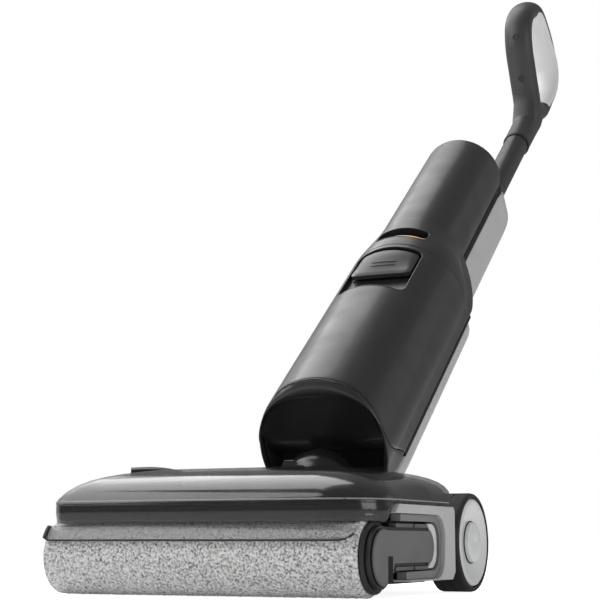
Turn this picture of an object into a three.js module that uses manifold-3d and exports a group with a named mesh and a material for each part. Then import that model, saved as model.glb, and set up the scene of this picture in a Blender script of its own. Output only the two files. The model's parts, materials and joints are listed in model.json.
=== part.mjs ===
// Cordless wet dry floor scrubber: a floor head with a driven roller, a neck with
// two pivots, and a leaning main body with two tanks, a motor, a pole and a loop grip.
// Millimetres, +Z up, +Y towards the user, +X towards the drive arm's side.

import * as THREE from 'three';
import { mergeVertices } from 'three/addons/utils/BufferGeometryUtils.js';
import Module from 'manifold-3d';

const wasm = await Module();
wasm.setup();

// ---------------------------------------------------------------- driving dimensions

const GAP = 0.3; // clearance between pieces that touch
const HALF_WIDTH = 145; // half of the head's overall width, to the wheels' outer faces

const ROLLER = { y: -108.4, z: 30.2, r: 30.2, coreR: 24, boreR: 21, left: -145, right: 127 };
const WHEEL = { y: 79.6, r: 41.4, width: 30, hubR: 37, capR: 17, axleR: 5 };
const ARM = { y: -14, z: 38, r: 12.5, discR: 21.1, inner: 131.3, x: 135.6, outer: 137.6 };
const BELT = { x: 131.7, width: 3.2, rollerPulleyR: 14, motorPulleyR: 7 };
const COVER = { half: 141, front: -134.6, rear: 34, bottom: 56.2, crease: 71.2, top: 101, endR: 12 };
const FRAME = { inner: 128, outer: 143, top: 70.2, bottom: 11.5, rear: 34.6 };
const TRAY = { half: 116, front: -70, rear: 34, bottom: 9, top: 55.6, wall: 2.6 };
const PIVOT = { y: 62, z: 72, r: 6 }; // neck pitch axis, along X

// The main body has its own axes: local Z runs up the body and local -Y is its front.
const BODY_ORIGIN = { y: 55, z: 60 };
const LEAN = 51.5; // degrees back from upright, as the machine is pushed under furniture

// Housing sections: an arc (radius, its centre's depth, the angle it starts at) that runs
// on in straight sides to the corners of a flat back (half width, depth).
const LOWER = { r: 63, depth: 30, start: -18, half: 58.5, back: -5.5 };
const UPPER = { r: 44.5, depth: 47, start: -70, half: 9, back: 3.2 };
const CAVITY = { half: 59.5, middle: 27, reach: 50, power: 0.77, rearHalf: 55, back: -2 };
const SPINE = { front: -5.8, back: -8.3, half: 54 };
const REAR = { front: -8.6, edge: -22, back: -35, lowerHalf: 57, upperHalf: 40 };
const LEVELS = { mouth: 56, shroud: 88.4, vessel: 183, tank: 338, shoulder: 398, cylinder: 597 };
const REAR_LEVELS = { bottom: 66, split: 362, top: 618 };
const POLE = { r: 15.2, depth: -20.5, bottom: 592, top: 830 };
const GRIP = { halfX: 18.6, halfThick: 13 };
const SWIVEL = { up: 50, depth: 20, tilt: 45, r: 20 };
const BARREL = { up: 34, depth: 11, r: 27 }; // the neck's round housing

const ROUND = 24; // facets on the larger round pieces
const SMALL = 12; // facets on the small round pieces
const BUTTON = { r: 4.6, length: 5.4, proud: 0.6, travel: 1.2 };

const LOOKS = {
  charcoal: { color: 0x3b3b3c, roughness: 0.42, metalness: 0 },
  black: { color: 0x141415, roughness: 0.5, metalness: 0 },
  smoke: { color: 0x2a2b2d, roughness: 0.08, metalness: 0, transparent: true, opacity: 0.55 },
  strip: { color: 0x8f9193, roughness: 0.15, metalness: 0, transparent: true, opacity: 0.5 },
  lightGrey: { color: 0xb9b9b9, roughness: 0.4, metalness: 0 },
  midGrey: { color: 0x6c6d6f, roughness: 0.45, metalness: 0 },
  pile: { color: 0xd6d6d4, roughness: 1, metalness: 0 },
  rubber: { color: 0x1a1a1a, roughness: 0.85, metalness: 0 },
  hub: { color: 0xc9cacb, roughness: 0.35, metalness: 0.1 },
  metal: { color: 0xa8a9ab, roughness: 0.3, metalness: 1 },
  board: { color: 0x1f5a38, roughness: 0.6, metalness: 0 },
  filter: { color: 0xe6e3da, roughness: 0.9, metalness: 0 },
};

// ---------------------------------------------------------------- solids and shapes

// A closed geometry as a manifold solid, turned so that its faces point outwards.
function solid(geometry) {
  const plain = (geometry.index ? geometry.toNonIndexed() : geometry).clone();
  plain.deleteAttribute('normal');
  plain.deleteAttribute('uv');
  const merged = mergeVertices(plain, 1e-4);
  const vertProperties = new Float32Array(merged.attributes.position.array);
  const triVerts = new Uint32Array(merged.index.array);
  if (signedVolume(vertProperties, triVerts) < 0) triVerts.reverse();
  return new wasm.Manifold(new wasm.Mesh({ numProp: 3, vertProperties, triVerts }));
}

function signedVolume(points, triangles) {
  const [a, b, c] = [new THREE.Vector3(), new THREE.Vector3(), new THREE.Vector3()];
  let volume = 0;
  for (let i = 0; i < triangles.length; i += 3) {
    a.fromArray(points, 3 * triangles[i]);
    b.fromArray(points, 3 * triangles[i + 1]);
    c.fromArray(points, 3 * triangles[i + 2]);
    volume += a.dot(b.cross(c)) / 6;
  }
  return volume;
}

function geometryOf(manifold) {
  const mesh = manifold.getMesh();
  const geometry = new THREE.BufferGeometry();
  geometry.setAttribute('position', new THREE.BufferAttribute(mesh.vertProperties, 3));
  geometry.setIndex(new THREE.BufferAttribute(mesh.triVerts, 1));
  geometry.computeVertexNormals();
  return geometry;
}

// A skin over rings of equal length, capped at both ends, or joined end to start as a loop.
function loft(rings, loop = false) {
  const count = rings[0].length;
  const points = rings.flat();
  const faces = [];
  const bands = loop ? rings.length : rings.length - 1;
  for (let i = 0; i < bands; i += 1) {
    const low = i * count;
    const high = ((i + 1) % rings.length) * count;
    for (let j = 0; j < count; j += 1) {
      const next = (j + 1) % count;
      faces.push(low + j, low + next, high + next, low + j, high + next, high + j);
    }
  }
  if (!loop) {
    const cap = (ring, start, flip) => {
      const middle = points.length;
      points.push(ring.reduce((sum, p) => sum.add(p), new THREE.Vector3()).divideScalar(count));
      for (let j = 0; j < count; j += 1) {
        const pair = [start + j, start + ((j + 1) % count)];
        faces.push(middle, pair[flip ? 1 : 0], pair[flip ? 0 : 1]);
      }
    };
    cap(rings[0], 0, true);
    cap(rings[rings.length - 1], (rings.length - 1) * count, false);
  }
  const geometry = new THREE.BufferGeometry().setFromPoints(points);
  geometry.setIndex(faces);
  return solid(geometry);
}

function block(x0, x1, y0, y1, z0, z1) {
  const box = new THREE.BoxGeometry(x1 - x0, y1 - y0, z1 - z0);
  return solid(box.translate((x0 + x1) / 2, (y0 + y1) / 2, (z0 + z1) / 2));
}

// Pieces turned about the X axis: profile pairs are [x, radius], closed by the axis or by itself.
function turnedX(profile, y, z, facets = ROUND) {
  const lathe = new THREE.LatheGeometry(profile.map(([x, r]) => new THREE.Vector2(r, x)), facets);
  return solid(lathe.rotateZ(-Math.PI / 2).translate(0, y, z));
}

// Pieces turned about the body's long axis: profile pairs are [height, radius].
function turnedZ(profile, x, y, facets = ROUND) {
  const lathe = new THREE.LatheGeometry(profile.map(([h, r]) => new THREE.Vector2(r, h)), facets);
  return solid(lathe.rotateX(Math.PI / 2).translate(x, y, 0));
}

const rod = (r, from, to) => [[from, 0], [from, r], [to, r], [to, 0]];
const ring = (outer, inner, from, to) => [
  [from, inner], [from, outer], [to, outer], [to, inner], [from, inner],
];

// A flat outline in the Y-Z plane, made thick along X.
function plateX(outline, x0, x1) {
  const shape = new THREE.Shape(outline.map(([y, z]) => new THREE.Vector2(y, z)));
  const extruded = new THREE.ExtrudeGeometry(shape, { depth: x1 - x0, bevelEnabled: false });
  const turn = new THREE.Matrix4().makeBasis(
    new THREE.Vector3(0, 1, 0), new THREE.Vector3(0, 0, 1), new THREE.Vector3(1, 0, 0));
  return solid(extruded.applyMatrix4(turn).translate(x0, 0, 0));
}

// A round stretch of an outline, in degrees.
function arc(cy, cz, r, from, to, steps = 8) {
  return Array.from({ length: steps + 1 }, (_, i) => {
    const a = THREE.MathUtils.degToRad(from + ((to - from) * i) / steps);
    return [cy + r * Math.cos(a), cz + r * Math.sin(a)];
  });
}

function tube(points, r, sides = 10) {
  const curve = new THREE.CatmullRomCurve3(points.map((p) => new THREE.Vector3(...p)));
  const circle = new THREE.Shape();
  circle.absarc(0, 0, r, 0, 2 * Math.PI);
  const steps = 3 * (points.length - 1);
  const options = { steps, extrudePath: curve, curveSegments: Math.ceil(sides / 2) };
  return solid(new THREE.ExtrudeGeometry(circle, options));
}

// ---------------------------------------------------------------- scene graph

const machine = new THREE.Group();
const head = new THREE.Group();
const body = new THREE.Group();
body.position.set(0, BODY_ORIGIN.y, BODY_ORIGIN.z);
body.rotation.x = -THREE.MathUtils.degToRad(LEAN);
machine.add(head, body);

function place(group, name, manifold, look) {
  const mesh = new THREE.Mesh(geometryOf(manifold), new THREE.MeshStandardMaterial(LOOKS[look]));
  mesh.name = name;
  group.add(mesh);
}

// ---------------------------------------------------------------- floor head: roller and drive

function addRoller() {
  const { y, z, r, coreR, boreR, left, right } = ROLLER;
  place(head, 'roller_pile', turnedX(ring(r, coreR + GAP, left, right), y, z, 32), 'pile');
  const core = turnedX(ring(coreR, boreR, left + 5, right - 0.5), y, z);
  place(head, 'roller_core', core, 'midGrey');
  const cap = [[left + 1, 0], [left + 1, 21], [left + 2.5, coreR - 0.5], [left + 4.7, coreR - 0.5],
    [left + 4.7, boreR - 0.5], [left + 12, boreR - 0.5], [left + 12, 0]];
  place(head, 'roller_end_cap', turnedX(cap, y, z), 'charcoal');
  place(head, 'roller_end_ring', turnedX(ring(26.4, 21.6, right + 0.5, right + 4), y, z), 'rubber');
}

function addDrive() {
  const { x, width, rollerPulleyR, motorPulleyR } = BELT;
  const { y, z } = ROLLER;
  const beltEnd = x + width;
  const hub = [[96, 0], [96, 17], [99, 20.4], [117, 20.4], [117, 8], [x, 8], [x, rollerPulleyR],
    [beltEnd, rollerPulleyR], [beltEnd, 0]];
  place(head, 'roller_drive_hub', turnedX(hub, y, z), 'black');
  const pinion = [[103, 0], [103, 2.5], [x, 2.5], [x, motorPulleyR], [beltEnd, motorPulleyR],
    [beltEnd, 0]];
  place(head, 'motor_pulley', turnedX(pinion, ARM.y, ARM.z, SMALL), 'metal');
  const can = [[22, 0], [22, 15], [25, 16.5], [96, 16.5], [99, 15], [99, 5], [102.5, 5],
    [102.5, 2.9], [90, 2.9], [90, 0]];
  place(head, 'roller_motor', turnedX(can, ARM.y, ARM.z), 'metal');
  const belt = plateX(beltOutline(GAP + 1.6), x + 0.4, beltEnd - 0.4);
  place(head, 'drive_belt', belt.subtract(plateX(beltOutline(GAP), x, beltEnd)), 'rubber');
}

// The outline that wraps both pulleys, standing off them by a distance.
function beltOutline(offset) {
  const dy = ARM.y - ROLLER.y;
  const dz = ARM.z - ROLLER.z;
  const slope = THREE.MathUtils.radToDeg(Math.atan2(dz, dy));
  const flare = Math.asin((BELT.rollerPulleyR - BELT.motorPulleyR) / Math.hypot(dy, dz));
  const side = 90 - THREE.MathUtils.radToDeg(flare);
  const large = [ROLLER.y, ROLLER.z, BELT.rollerPulleyR + offset, slope + side];
  const small = [ARM.y, ARM.z, BELT.motorPulleyR + offset, slope - side];
  return [...arc(...large, slope + 360 - side, 14), ...arc(...small, slope + side, 8)];
}

// The outline of the arm: a disc over the roller's end and a round-ended bar behind it.
function armOutline(offset) {
  const { discR, r, y, z } = ARM;
  const reach = discR + offset;
  const half = r + offset;
  const top = THREE.MathUtils.radToDeg(Math.asin((z + half - ROLLER.z) / reach));
  const low = THREE.MathUtils.radToDeg(Math.asin((z - half - ROLLER.z) / reach));
  return [...arc(ROLLER.y, ROLLER.z, reach, top, 360 + low, 20), ...arc(y, z, half, -90, 90, 8)];
}

function addArm() {
  place(head, 'arm_panel', plateX(armOutline(0), ARM.x, ARM.outer), 'midGrey');
  const backing = plateX(armOutline(2.6), ARM.inner, ARM.x - GAP);
  const beltRoom = plateX(beltOutline(2.6), ARM.inner - 1, ARM.x);
  place(head, 'arm_housing', backing.subtract(beltRoom), 'black');
}

// ---------------------------------------------------------------- floor head: guards and covers

function addHood() {
  const { y, z, r } = ROLLER;
  const shellArc = (from, to, inner, outer) => [
    ...arc(y, z, inner, from, to), ...arc(y, z, outer, to, from)];
  const hood = plateX(shellArc(22, 100, r + 3, r + 5.4), -126, 116);
  place(head, 'roller_hood', hood, 'black');
  const strip = plateX(shellArc(134, 157, r + 1.8, r + 4), -144.6, 126);
  place(head, 'front_strip', strip, 'strip');
}

// One level of the cover's plan: a large front corner over the drive arm, a tight one at
// the other end, small rear ones, and sides that reach the rear width above the arm.
function coverRing(z, half, rearHalf, front, rear, frontR) {
  const { endR } = COVER;
  const rearR = 6;
  const corner = (cx, cy, r, from, steps) => arc(cx, cy, r, from, from + 90, steps);
  const outline = [...corner(rearHalf - rearR, rear - rearR, rearR, 0, 2),
    ...corner(-rearHalf + rearR, rear - rearR, rearR, 90, 2), [-rearHalf, 0],
    ...corner(-half + endR, front + endR, endR, 180, 5),
    ...corner(half - frontR, front + frontR, frontR, 270, 5), [rearHalf, 0]];
  return outline.map(([x, y]) => new THREE.Vector3(x, y, z));
}

function coverStack(inset) {
  const { half, front, rear, bottom, crease, top } = COVER;
  const levels = [ // height, and how far the front's and the rear's edges have drawn in
    [bottom, 1.5, 1.5], [crease, 0, 0], [crease + 5, 1.6, 0.4], [crease + 12, 6.5, 1],
    [crease + 18, 14, 4], [crease + 23, 24, 15], [crease + 27, 40, 33], [top, 66, 62]];
  return loft(levels.map(([z, drawn, rearDrawn]) => {
    const level = z > bottom ? z - (z > crease ? inset : 0) : z - inset;
    const edge = drawn + inset;
    const cornerR = Math.max(46 - edge * 0.35, 16);
    const rearHalf = half - rearDrawn - inset;
    return coverRing(level, half - edge, rearHalf, front + edge, rear + (inset ? 1 : 0), cornerR);
  }));
}

function addCover() {
  const { half, rear, bottom, crease } = COVER;
  const skirtCut = block(-half - 5, half + 5, -98, rear + 5, bottom - 5, crease - 0.4);
  const neckCut = block(-47, 47, 14, rear + 5, bottom, 120);
  const rollerRoom = turnedX(rod(ROLLER.r + 1.5, -150, 150), ROLLER.y, ROLLER.z);
  const cuts = [coverStack(2.6), skirtCut, neckCut, rollerRoom];
  const cover = cuts.reduce((a, b) => a.subtract(b), coverStack(0));
  place(head, 'head_cover', cover, 'smoke');
}

function addFrames() {
  const { inner, outer, top, bottom, rear } = FRAME;
  const outline = [[-96, top - 7], [-88, top], [rear - 4, top], [rear, top - 4], [rear, bottom + 6],
    [rear - 6, bottom], [-66, bottom], [-70, bottom + 2.5]];
  const opening = [[-120, 13], [-120, 63], ...arc(-8, 44, 19, 90, 0, 5), ...arc(-8, 31, 18, 0, -90, 5)];
  const right = plateX(outline, inner, outer).subtract(plateX(opening, inner - 1, outer + 1));
  place(head, 'side_frame_right', right, 'lightGrey');
  const shortOutline = outline.map(([y, z]) => [Math.max(y, -68), z]);
  place(head, 'side_frame_left', plateX(shortOutline, -outer, -inner), 'lightGrey');
  const liner = plateX([[-76, 13], [-76, 63], [14, 63], [14, 13]], 117, inner - GAP);
  const shaftHole = turnedX(rod(4, 110, 130), ARM.y, ARM.z, SMALL);
  place(head, 'side_liner_right', liner.subtract(shaftHole), 'midGrey');
}

// ---------------------------------------------------------------- floor head: chassis and wheels

function addChassis() {
  const { half, front, rear, bottom, top, wall } = TRAY;
  const deckRear = 100;
  const deckTop = 30;
  const room = block(-half + wall, half - wall, front + wall, rear - wall, bottom + wall, top + 5);
  const deck = block(-108, 108, rear - 1, deckRear, bottom + 3, deckTop);
  const deckRoom = block(-104, 104, rear + 3, deckRear - 4, bottom + 7, deckTop + 5);
  const mouth = block(-30, 30, front - 1, front + wall + 1, 14, 32);
  const shaftHole = turnedX(rod(4, half - wall - 1, half + 1), ARM.y, ARM.z, SMALL);
  const ducts = block(-16.5, 16.5, rear - wall - 1, rear + 4, 15.8, 29.4);
  const tray = block(-half, half, front, rear, bottom, top).add(deck);
  const chassis = [room, deckRoom, mouth, shaftHole, ducts].reduce((a, b) => a.subtract(b), tray);
  place(head, 'head_chassis', chassis, 'black');
  const duct = block(-16, 16, front + 3, rear + 20, 16.3, 29);
  const bore = block(-13.5, 13.5, front, rear + 30, 18.5, 26.8);
  place(head, 'suction_duct', duct.subtract(bore), 'charcoal');
  place(head, 'scraper_bar', block(-120, 114, -77, -70.4, 33, 38), 'rubber');
  place(head, 'spray_bar', block(-112, 112, -74, -64, 57, 62), 'charcoal');
  place(head, 'floor_squeegee', block(-118, 114, -74, -70.4, 1.2, 20), 'rubber');
}

// The rear deck: low between the wheels, with a raised shoulder each side of the neck.
function addRearDeck() {
  const side = [[34.8, 56.4], [34.8, 84], [38, 89], [46, 88], [70, 80], [96, 70], [101, 64],
    [101, 30.6], [38, 32]];
  const low = [[38, 32], [38, 54], [94, 50], [101, 44], [101, 30.6]];
  const shoulders = [-1, 1].map((s) => {
    const [near, far] = [s * 70, s * 112];
    return plateX(side, Math.min(near, far), Math.max(near, far));
  });
  const slot = block(-36, 36, 30, 92, 20, 60);
  const wheelRoom = [-1, 1].map((s) => {
    const span = [s * 110, s * 150].sort((a, b) => a - b);
    return turnedX(rod(WHEEL.r + 1.5, ...span), WHEEL.y, WHEEL.r);
  });
  let deck = plateX(low, -71, 71).add(shoulders[0]).add(shoulders[1]).subtract(slot);
  [-1, 1].forEach((s) => {
    const [near, far] = [s * 73, s * 109].sort((a, b) => a - b);
    deck = deck.subtract(plateX([[41, 20], [41, 80], [48, 83], [68, 76], [94, 66], [94, 20]], near, far));
  });
  wheelRoom.forEach((room) => { deck = deck.subtract(room); });
  [-1, 1].forEach((s) => { deck = deck.subtract(lugRoom(s)).subtract(axleRoom(s)); });
  place(head, 'rear_deck', deck, 'black');
}

const lugSpan = (s, spare) => (s > 0 ? [38.5 - spare, 46 + spare] : [-46 - spare, -38.5 + spare]);

function lugOutline(spare) {
  const { y, z, r } = PIVOT;
  return [[y - 16 - spare, 18], ...arc(y, z, r + 6 + spare, 180, 0, 10), [y + 16 + spare, 18]];
}

const lugRoom = (s) => plateX(lugOutline(GAP), ...lugSpan(s, GAP));
const axleRoom = (s) => turnedX(rod(WHEEL.axleR + GAP, ...[s * 90, s * 120].sort((a, b) => a - b)),
  WHEEL.y, WHEEL.r, SMALL);

function addPivotLugs() {
  const { y, z, r } = PIVOT;
  [['left', -1], ['right', 1]].forEach(([side, s]) => {
    const outline = lugOutline(0).map(([py, pz]) => [py, Math.max(pz, 18)]);
    const bore = turnedX(rod(r + GAP, ...lugSpan(s, 2)), y, z, SMALL);
    place(head, `pivot_lug_${side}`, plateX(outline, ...lugSpan(s, 0)).subtract(bore), 'charcoal');
    const pin = s > 0 ? [[24, 0], [24, r], [47, r], [47, r + 3], [49, r + 3], [49, 0]]
      : [[-49, 0], [-49, r + 3], [-47, r + 3], [-47, r], [-24, r], [-24, 0]];
    place(head, `pivot_pin_${side}`, turnedX(pin, y, z, SMALL), 'metal');
  });
}

function addWheels() {
  const { y, r, width, hubR, capR, axleR } = WHEEL;
  [['left', -1], ['right', 1]].forEach(([side, s]) => {
    const at = (x, radius) => [s * x, radius];
    const order = (profile) => (s > 0 ? profile : profile.slice().reverse());
    const outer = HALF_WIDTH;
    const inner = outer - width;
    const tyre = [at(inner, hubR + GAP), at(inner, r - 2), at(inner + 2, r), at(outer - 3, r),
      at(outer - 1, r - 1.6), at(outer - 1, hubR + GAP), at(inner, hubR + GAP)];
    place(head, `tyre_${side}`, turnedX(order(tyre), y, r, 36), 'rubber');
    const hub = [at(outer - 9, 0), at(outer - 9, axleR + GAP), at(inner + 4, axleR + GAP),
      at(inner + 4, hubR), at(outer - 2.5, hubR), at(outer - 0.6, hubR - 3), at(outer - 0.6, 28),
      at(outer - 2.4, capR), at(outer - 1, capR), at(outer, capR - 2), at(outer, 0)];
    place(head, `hub_${side}`, turnedX(order(hub), y, r), 'hub');
    const axle = [at(92, 0), at(92, axleR), at(outer - 9.4, axleR), at(outer - 9.4, 0)];
    place(head, `axle_${side}`, turnedX(order(axle), y, r, SMALL), 'metal');
  });
}

// ---------------------------------------------------------------- neck

const section = (x, up, depth) => new THREE.Vector3(x, -depth, up); // body axes to local x, y, z

function addNeck() {
  const profile = [[-36.5, 0], [-36.5, 17], [-33, 23], [-26, 26], [-14, BARREL.r], [14, BARREL.r],
    [26, 26], [33, 23], [36.5, 17], [36.5, 0]];
  const barrel = turnedX(profile, -BARREL.depth, BARREL.up);
  const pivotUp = pivotInBody().z;
  const pivotY = pivotInBody().y;
  const root = turnedX(rod(17, -36.5, 36.5), pivotY, pivotUp);
  const bores = [turnedX(rod(PIVOT.r + GAP, 23, 60), pivotY, pivotUp, SMALL),
    turnedX(rod(PIVOT.r + GAP, -60, -23), pivotY, pivotUp, SMALL)];
  const discRoom = swivelTurned(rod(SWIVEL.r + GAP, -4, 60));
  const shell = bores.reduce((a, b) => a.subtract(b), barrel.add(root)).subtract(discRoom);
  place(body, 'neck_barrel', shell.subtract(hoseRoute(9)), 'charcoal');
  place(body, 'swivel_disc', swivelTurned(ring(SWIVEL.r, 9.5, -3.6, 4)), 'black');
}

// The neck pitch axis in the body's own axes.
function pivotInBody() {
  const point = new THREE.Vector3(0, PIVOT.y - BODY_ORIGIN.y, PIVOT.z - BODY_ORIGIN.z);
  return point.applyAxisAngle(new THREE.Vector3(1, 0, 0), THREE.MathUtils.degToRad(LEAN));
}

// Pieces turned about the swivel axis, which leans forward from the body's long axis.
function swivelTurned(profile) {
  const lathe = new THREE.LatheGeometry(profile.map(([h, r]) => new THREE.Vector2(r, h)), ROUND);
  lathe.rotateX(Math.PI / 2 + THREE.MathUtils.degToRad(SWIVEL.tilt));
  return solid(lathe.translate(0, -SWIVEL.depth, SWIVEL.up));
}

function hoseRoute(r) {
  return tube([[0, -2, -30], [0, -4, 0], [0, -9, 24], [0, -14, 40]], r, 12);
}

// ---------------------------------------------------------------- main body: lower housings

function housingRing(up, { r, depth, start, half, back }, inset) {
  const front = arc(0, depth, r - inset, start, 180 - start, 18);
  const outline = [[half - inset, back + inset], ...front, [-half + inset, back + inset]];
  return outline.map(([x, d]) => section(x, up, d));
}

const housing = (levels, inset = 0) =>
  loft(levels.map(([up, shape]) => housingRing(up, shape, inset)));

const blend = (k) => Object.fromEntries(Object.keys(LOWER).map((key) =>
  [key, LOWER[key] + (UPPER[key] - LOWER[key]) * k]));

// The wide, flat-topped room inside the bottom shroud.
function cavityRing(up) {
  const { half, middle, reach, power, rearHalf, back } = CAVITY;
  const front = arc(0, 0, 1, 0, 180, 16).map(([c, s]) =>
    [half * Math.sign(c) * Math.abs(c) ** power, middle + reach * Math.abs(s) ** power]);
  return [[rearHalf, back], ...front, [-rearHalf, back]].map(([x, d]) => section(x, up, d));
}

function addShroud() {
  const { mouth, shroud } = LEVELS;
  const outer = housing([[mouth - 8, { ...LOWER, r: 58.5, half: 54 }],
    [mouth - 2, { ...LOWER, r: 61, half: 56.5 }], [mouth + 6, LOWER], [shroud - GAP, LOWER]]);
  const cavity = loft([cavityRing(mouth - 10), cavityRing(shroud - 5)]);
  const slope = Math.atan2(26, 90);
  const below = new THREE.BoxGeometry(200, 260, 100).translate(0, 0, -50);
  below.rotateX(-slope).translate(0, 0, mouth);
  const neckRoom = new THREE.SphereGeometry(BARREL.r + 16, 24, 12);
  neckRoom.translate(0, -BARREL.depth, BARREL.up);
  const cuts = [cavity, solid(below), solid(neckRoom)];
  place(body, 'bottom_shroud', cuts.reduce((a, b) => a.subtract(b), outer), 'charcoal');
}

function addTank() {
  const { shroud, vessel, tank } = LEVELS;
  const wall = 2.5;
  const front = LOWER.r + LOWER.depth;
  const outer = housing([[shroud, LOWER], [vessel - GAP, LOWER]]);
  const room = housing([[shroud + wall, LOWER], [vessel + 5, LOWER]], wall);
  place(body, 'dirty_tank', outer.subtract(room), 'charcoal');
  const crown = housing([[vessel, LOWER], [tank - GAP, LOWER]]);
  const chamber = housing([[vessel - 5, LOWER], [tank - 14, LOWER]], wall);
  const recess = block(-37, 35, -front - 5, -front + 17, 253, 332);
  const recessWall = block(-39.5, 37.5, -front + 1.5, -front + 19.5, 250.5, 334.5).intersect(crown);
  const shell = crown.subtract(chamber).add(recessWall).subtract(recess);
  place(body, 'tank_top', shell, 'charcoal');
  const pad = housing([[282, LOWER], [328, LOWER]]).intersect(block(-33, 31.5, -120, -front + 13, 281, 329));
  place(body, 'tank_button', pad, 'midGrey');
  const filterY = -LOWER.depth - 4;
  place(body, 'tank_filter', turnedZ(rod(26, 190, 224), 0, filterY), 'filter');
  place(body, 'riser_pipe', turnedZ(ring(11, 9, shroud + 4, 178), 0, filterY, SMALL), 'charcoal');
  place(body, 'tank_float', turnedZ(ring(17, 11.8, 120, 132), 0, filterY, 24), 'lightGrey');
}

// Pieces turned about the body's front-to-back axis: profile pairs are [local y, radius].
function turnedY(profile, x, up) {
  const lathe = new THREE.LatheGeometry(profile.map(([y, r]) => new THREE.Vector2(r, y)), SMALL);
  return solid(lathe.translate(x, 0, up));
}

function addShoulder() {
  const { tank, shoulder } = LEVELS;
  const steps = [0, 0.08, 0.32, 0.68, 0.92, 1];
  const levels = steps.map((k, i) => [tank + ((shoulder - GAP - tank) * i) / 5, blend(k)]);
  const room = levels.map(([up, shape], i) => [up + (i === 0 ? 3 : 0) + (i === 5 ? 3 : 0), shape]);
  const front = LOWER.r + LOWER.depth;
  const vent = block(-25, 30, -front - 5, -front + 22, 354, 372);
  const shell = housing(levels).subtract(housing(room, 3));
  place(body, 'shoulder_housing', shell.subtract(vent), 'charcoal');
}

// ---------------------------------------------------------------- main body: motor housing

function addMotorHousing() {
  const { shoulder, cylinder } = LEVELS;
  const y = -UPPER.depth;
  const wall = [[shoulder, UPPER.r - 3], [shoulder, UPPER.r], [cylinder - 3, UPPER.r],
    [cylinder - GAP, UPPER.r - 1.6], [cylinder - GAP, UPPER.r - 3], [shoulder, UPPER.r - 3]];
  place(body, 'motor_housing', turnedZ(wall, 0, y, 32), 'charcoal');
  const cap = [[cylinder - 8, 0], [cylinder - 8, UPPER.r - 3.4], [cylinder - 2, UPPER.r - 3.4],
    [cylinder - 1, UPPER.r - 5], [cylinder - 1, 33], [cylinder - 2.5, 33], [cylinder - 2.5, 0]];
  place(body, 'top_cap', turnedZ(cap, 0, y), 'black');
  place(body, 'control_board', turnedZ(rod(36, cylinder - 14, cylinder - 12), 0, y, 24), 'board');
  const motor = [[452, 0], [452, 30], [456, 33], [512, 33], [516, 26], [528, 26], [528, 0]];
  place(body, 'suction_motor', turnedZ(motor, 0, y), 'metal');
  const fan = [[433, 0], [433, 12], [436, 30], [445, 31], [445, 8], [450, 8], [450, 0]];
  place(body, 'suction_fan', turnedZ(fan, 0, y), 'charcoal');
}

// ---------------------------------------------------------------- main body: spine and rear shells

// A rear shell section: straight sides and a gently bowed back.
function rearRing(up, half, front, inset = 0, bow = REAR.back) {
  const edge = REAR.edge + inset;
  const deep = bow + inset;
  const h = half - inset;
  const back = Array.from({ length: 9 }, (_, i) => {
    const x = h * Math.cos((Math.PI * i) / 8);
    return section(x, up, edge + (deep - edge) * Math.sqrt(1 - (x / h) ** 2 * 0.9999));
  });
  return [...back, section(-h, up, front - inset), section(h, up, front - inset)];
}

function addRearShells() {
  const { bottom, split, top } = REAR_LEVELS;
  const { lowerHalf, upperHalf, front } = REAR;
  const lower = [[bottom, lowerHalf - 5, -28], [bottom + 10, lowerHalf - 1], [bottom + 40, lowerHalf],
    [split - 17, lowerHalf], [split - 6, lowerHalf - 3], [split - GAP, lowerHalf - 10]];
  const skin = (levels, face, inset) => loft(levels.map(([up, half, bow]) =>
    rearRing(up, half, face, inset, bow)));
  const room = lower.map(([up, half, bow], i) => [up + (i === 0 ? 3 : 0) - (i === 5 ? 3 : 0), half, bow]);
  const filler = turnedY(rod(9, -front - 5, -front + 12), -34, 300);
  place(body, 'clean_tank', skin(lower, front, 0).subtract(skin(room, front, 2.4)).subtract(filler),
    'lightGrey');
  const plug = turnedY(rod(8.6, -front + 0.1, -front + 4.5), -34, 300);
  place(body, 'filler_cap', plug, 'charcoal');
  const upperFront = 19;
  const upper = [[split, lowerHalf - 10, front], [split + 26, upperHalf + 4, front],
    [split + 44, upperHalf, front]];
  const neck = skinOf(upper);
  const tall = [[split + 44, upperHalf], [top - 26, upperHalf], [top - 2, upperHalf - 6]];
  const chest = loft(tall.map(([up, half], i) => rearRing(up, half, upperFront - (i === 2 ? 10 : 0), 0,
    i === 2 ? -31 : REAR.back)));
  const cylinderRoom = turnedZ(rod(UPPER.r + 1.2, 300, 700), 0, -UPPER.depth);
  const housingRoom = block(-80, 80, -120, -front, split - 5, LEVELS.shoulder + 0.5);
  const bay = block(-33, 33, 3.5, 28, split + 60, top - 40);
  const bayMouth = block(-30, 30, -40, 5, split + 70, top - 50);
  const poleRoom = turnedZ(rod(POLE.r + GAP, POLE.bottom - 6, 700), 0, -POLE.depth);
  const shell = [cylinderRoom, housingRoom, bay, bayMouth, poleRoom].reduce(
    (a, b) => a.subtract(b), neck.add(chest));
  place(body, 'rear_cover', shell, 'lightGrey');
  place(body, 'battery_pack', block(-31, 31, 4.5, 26.5, split + 66, top - 46), 'black');
}

const skinOf = (levels) => loft(levels.map(([up, half, face]) => rearRing(up, half, face)));

function addSpine() {
  const { front, back, half } = SPINE;
  const plate = block(-half, half, -front, -back, REAR_LEVELS.bottom + 4, REAR_LEVELS.split - 4);
  place(body, 'spine_frame', plate, 'black');
  place(body, 'water_pump', block(-16, 16, -30, -8, 346, 372), 'black');
}

// ---------------------------------------------------------------- pole and loop grip

// The grip's centre line, as [up, depth] pairs, once round the loop from its heel.
const GRIP_LOOP = [[930, -23], [968, -23], [1004, -19], [1024, -3], [1028, 24], [1023, 58],
  [1008, 91], [978, 103], [946, 99], [926, 76], [917, 42], [911, 12], [908, -6]];

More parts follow.
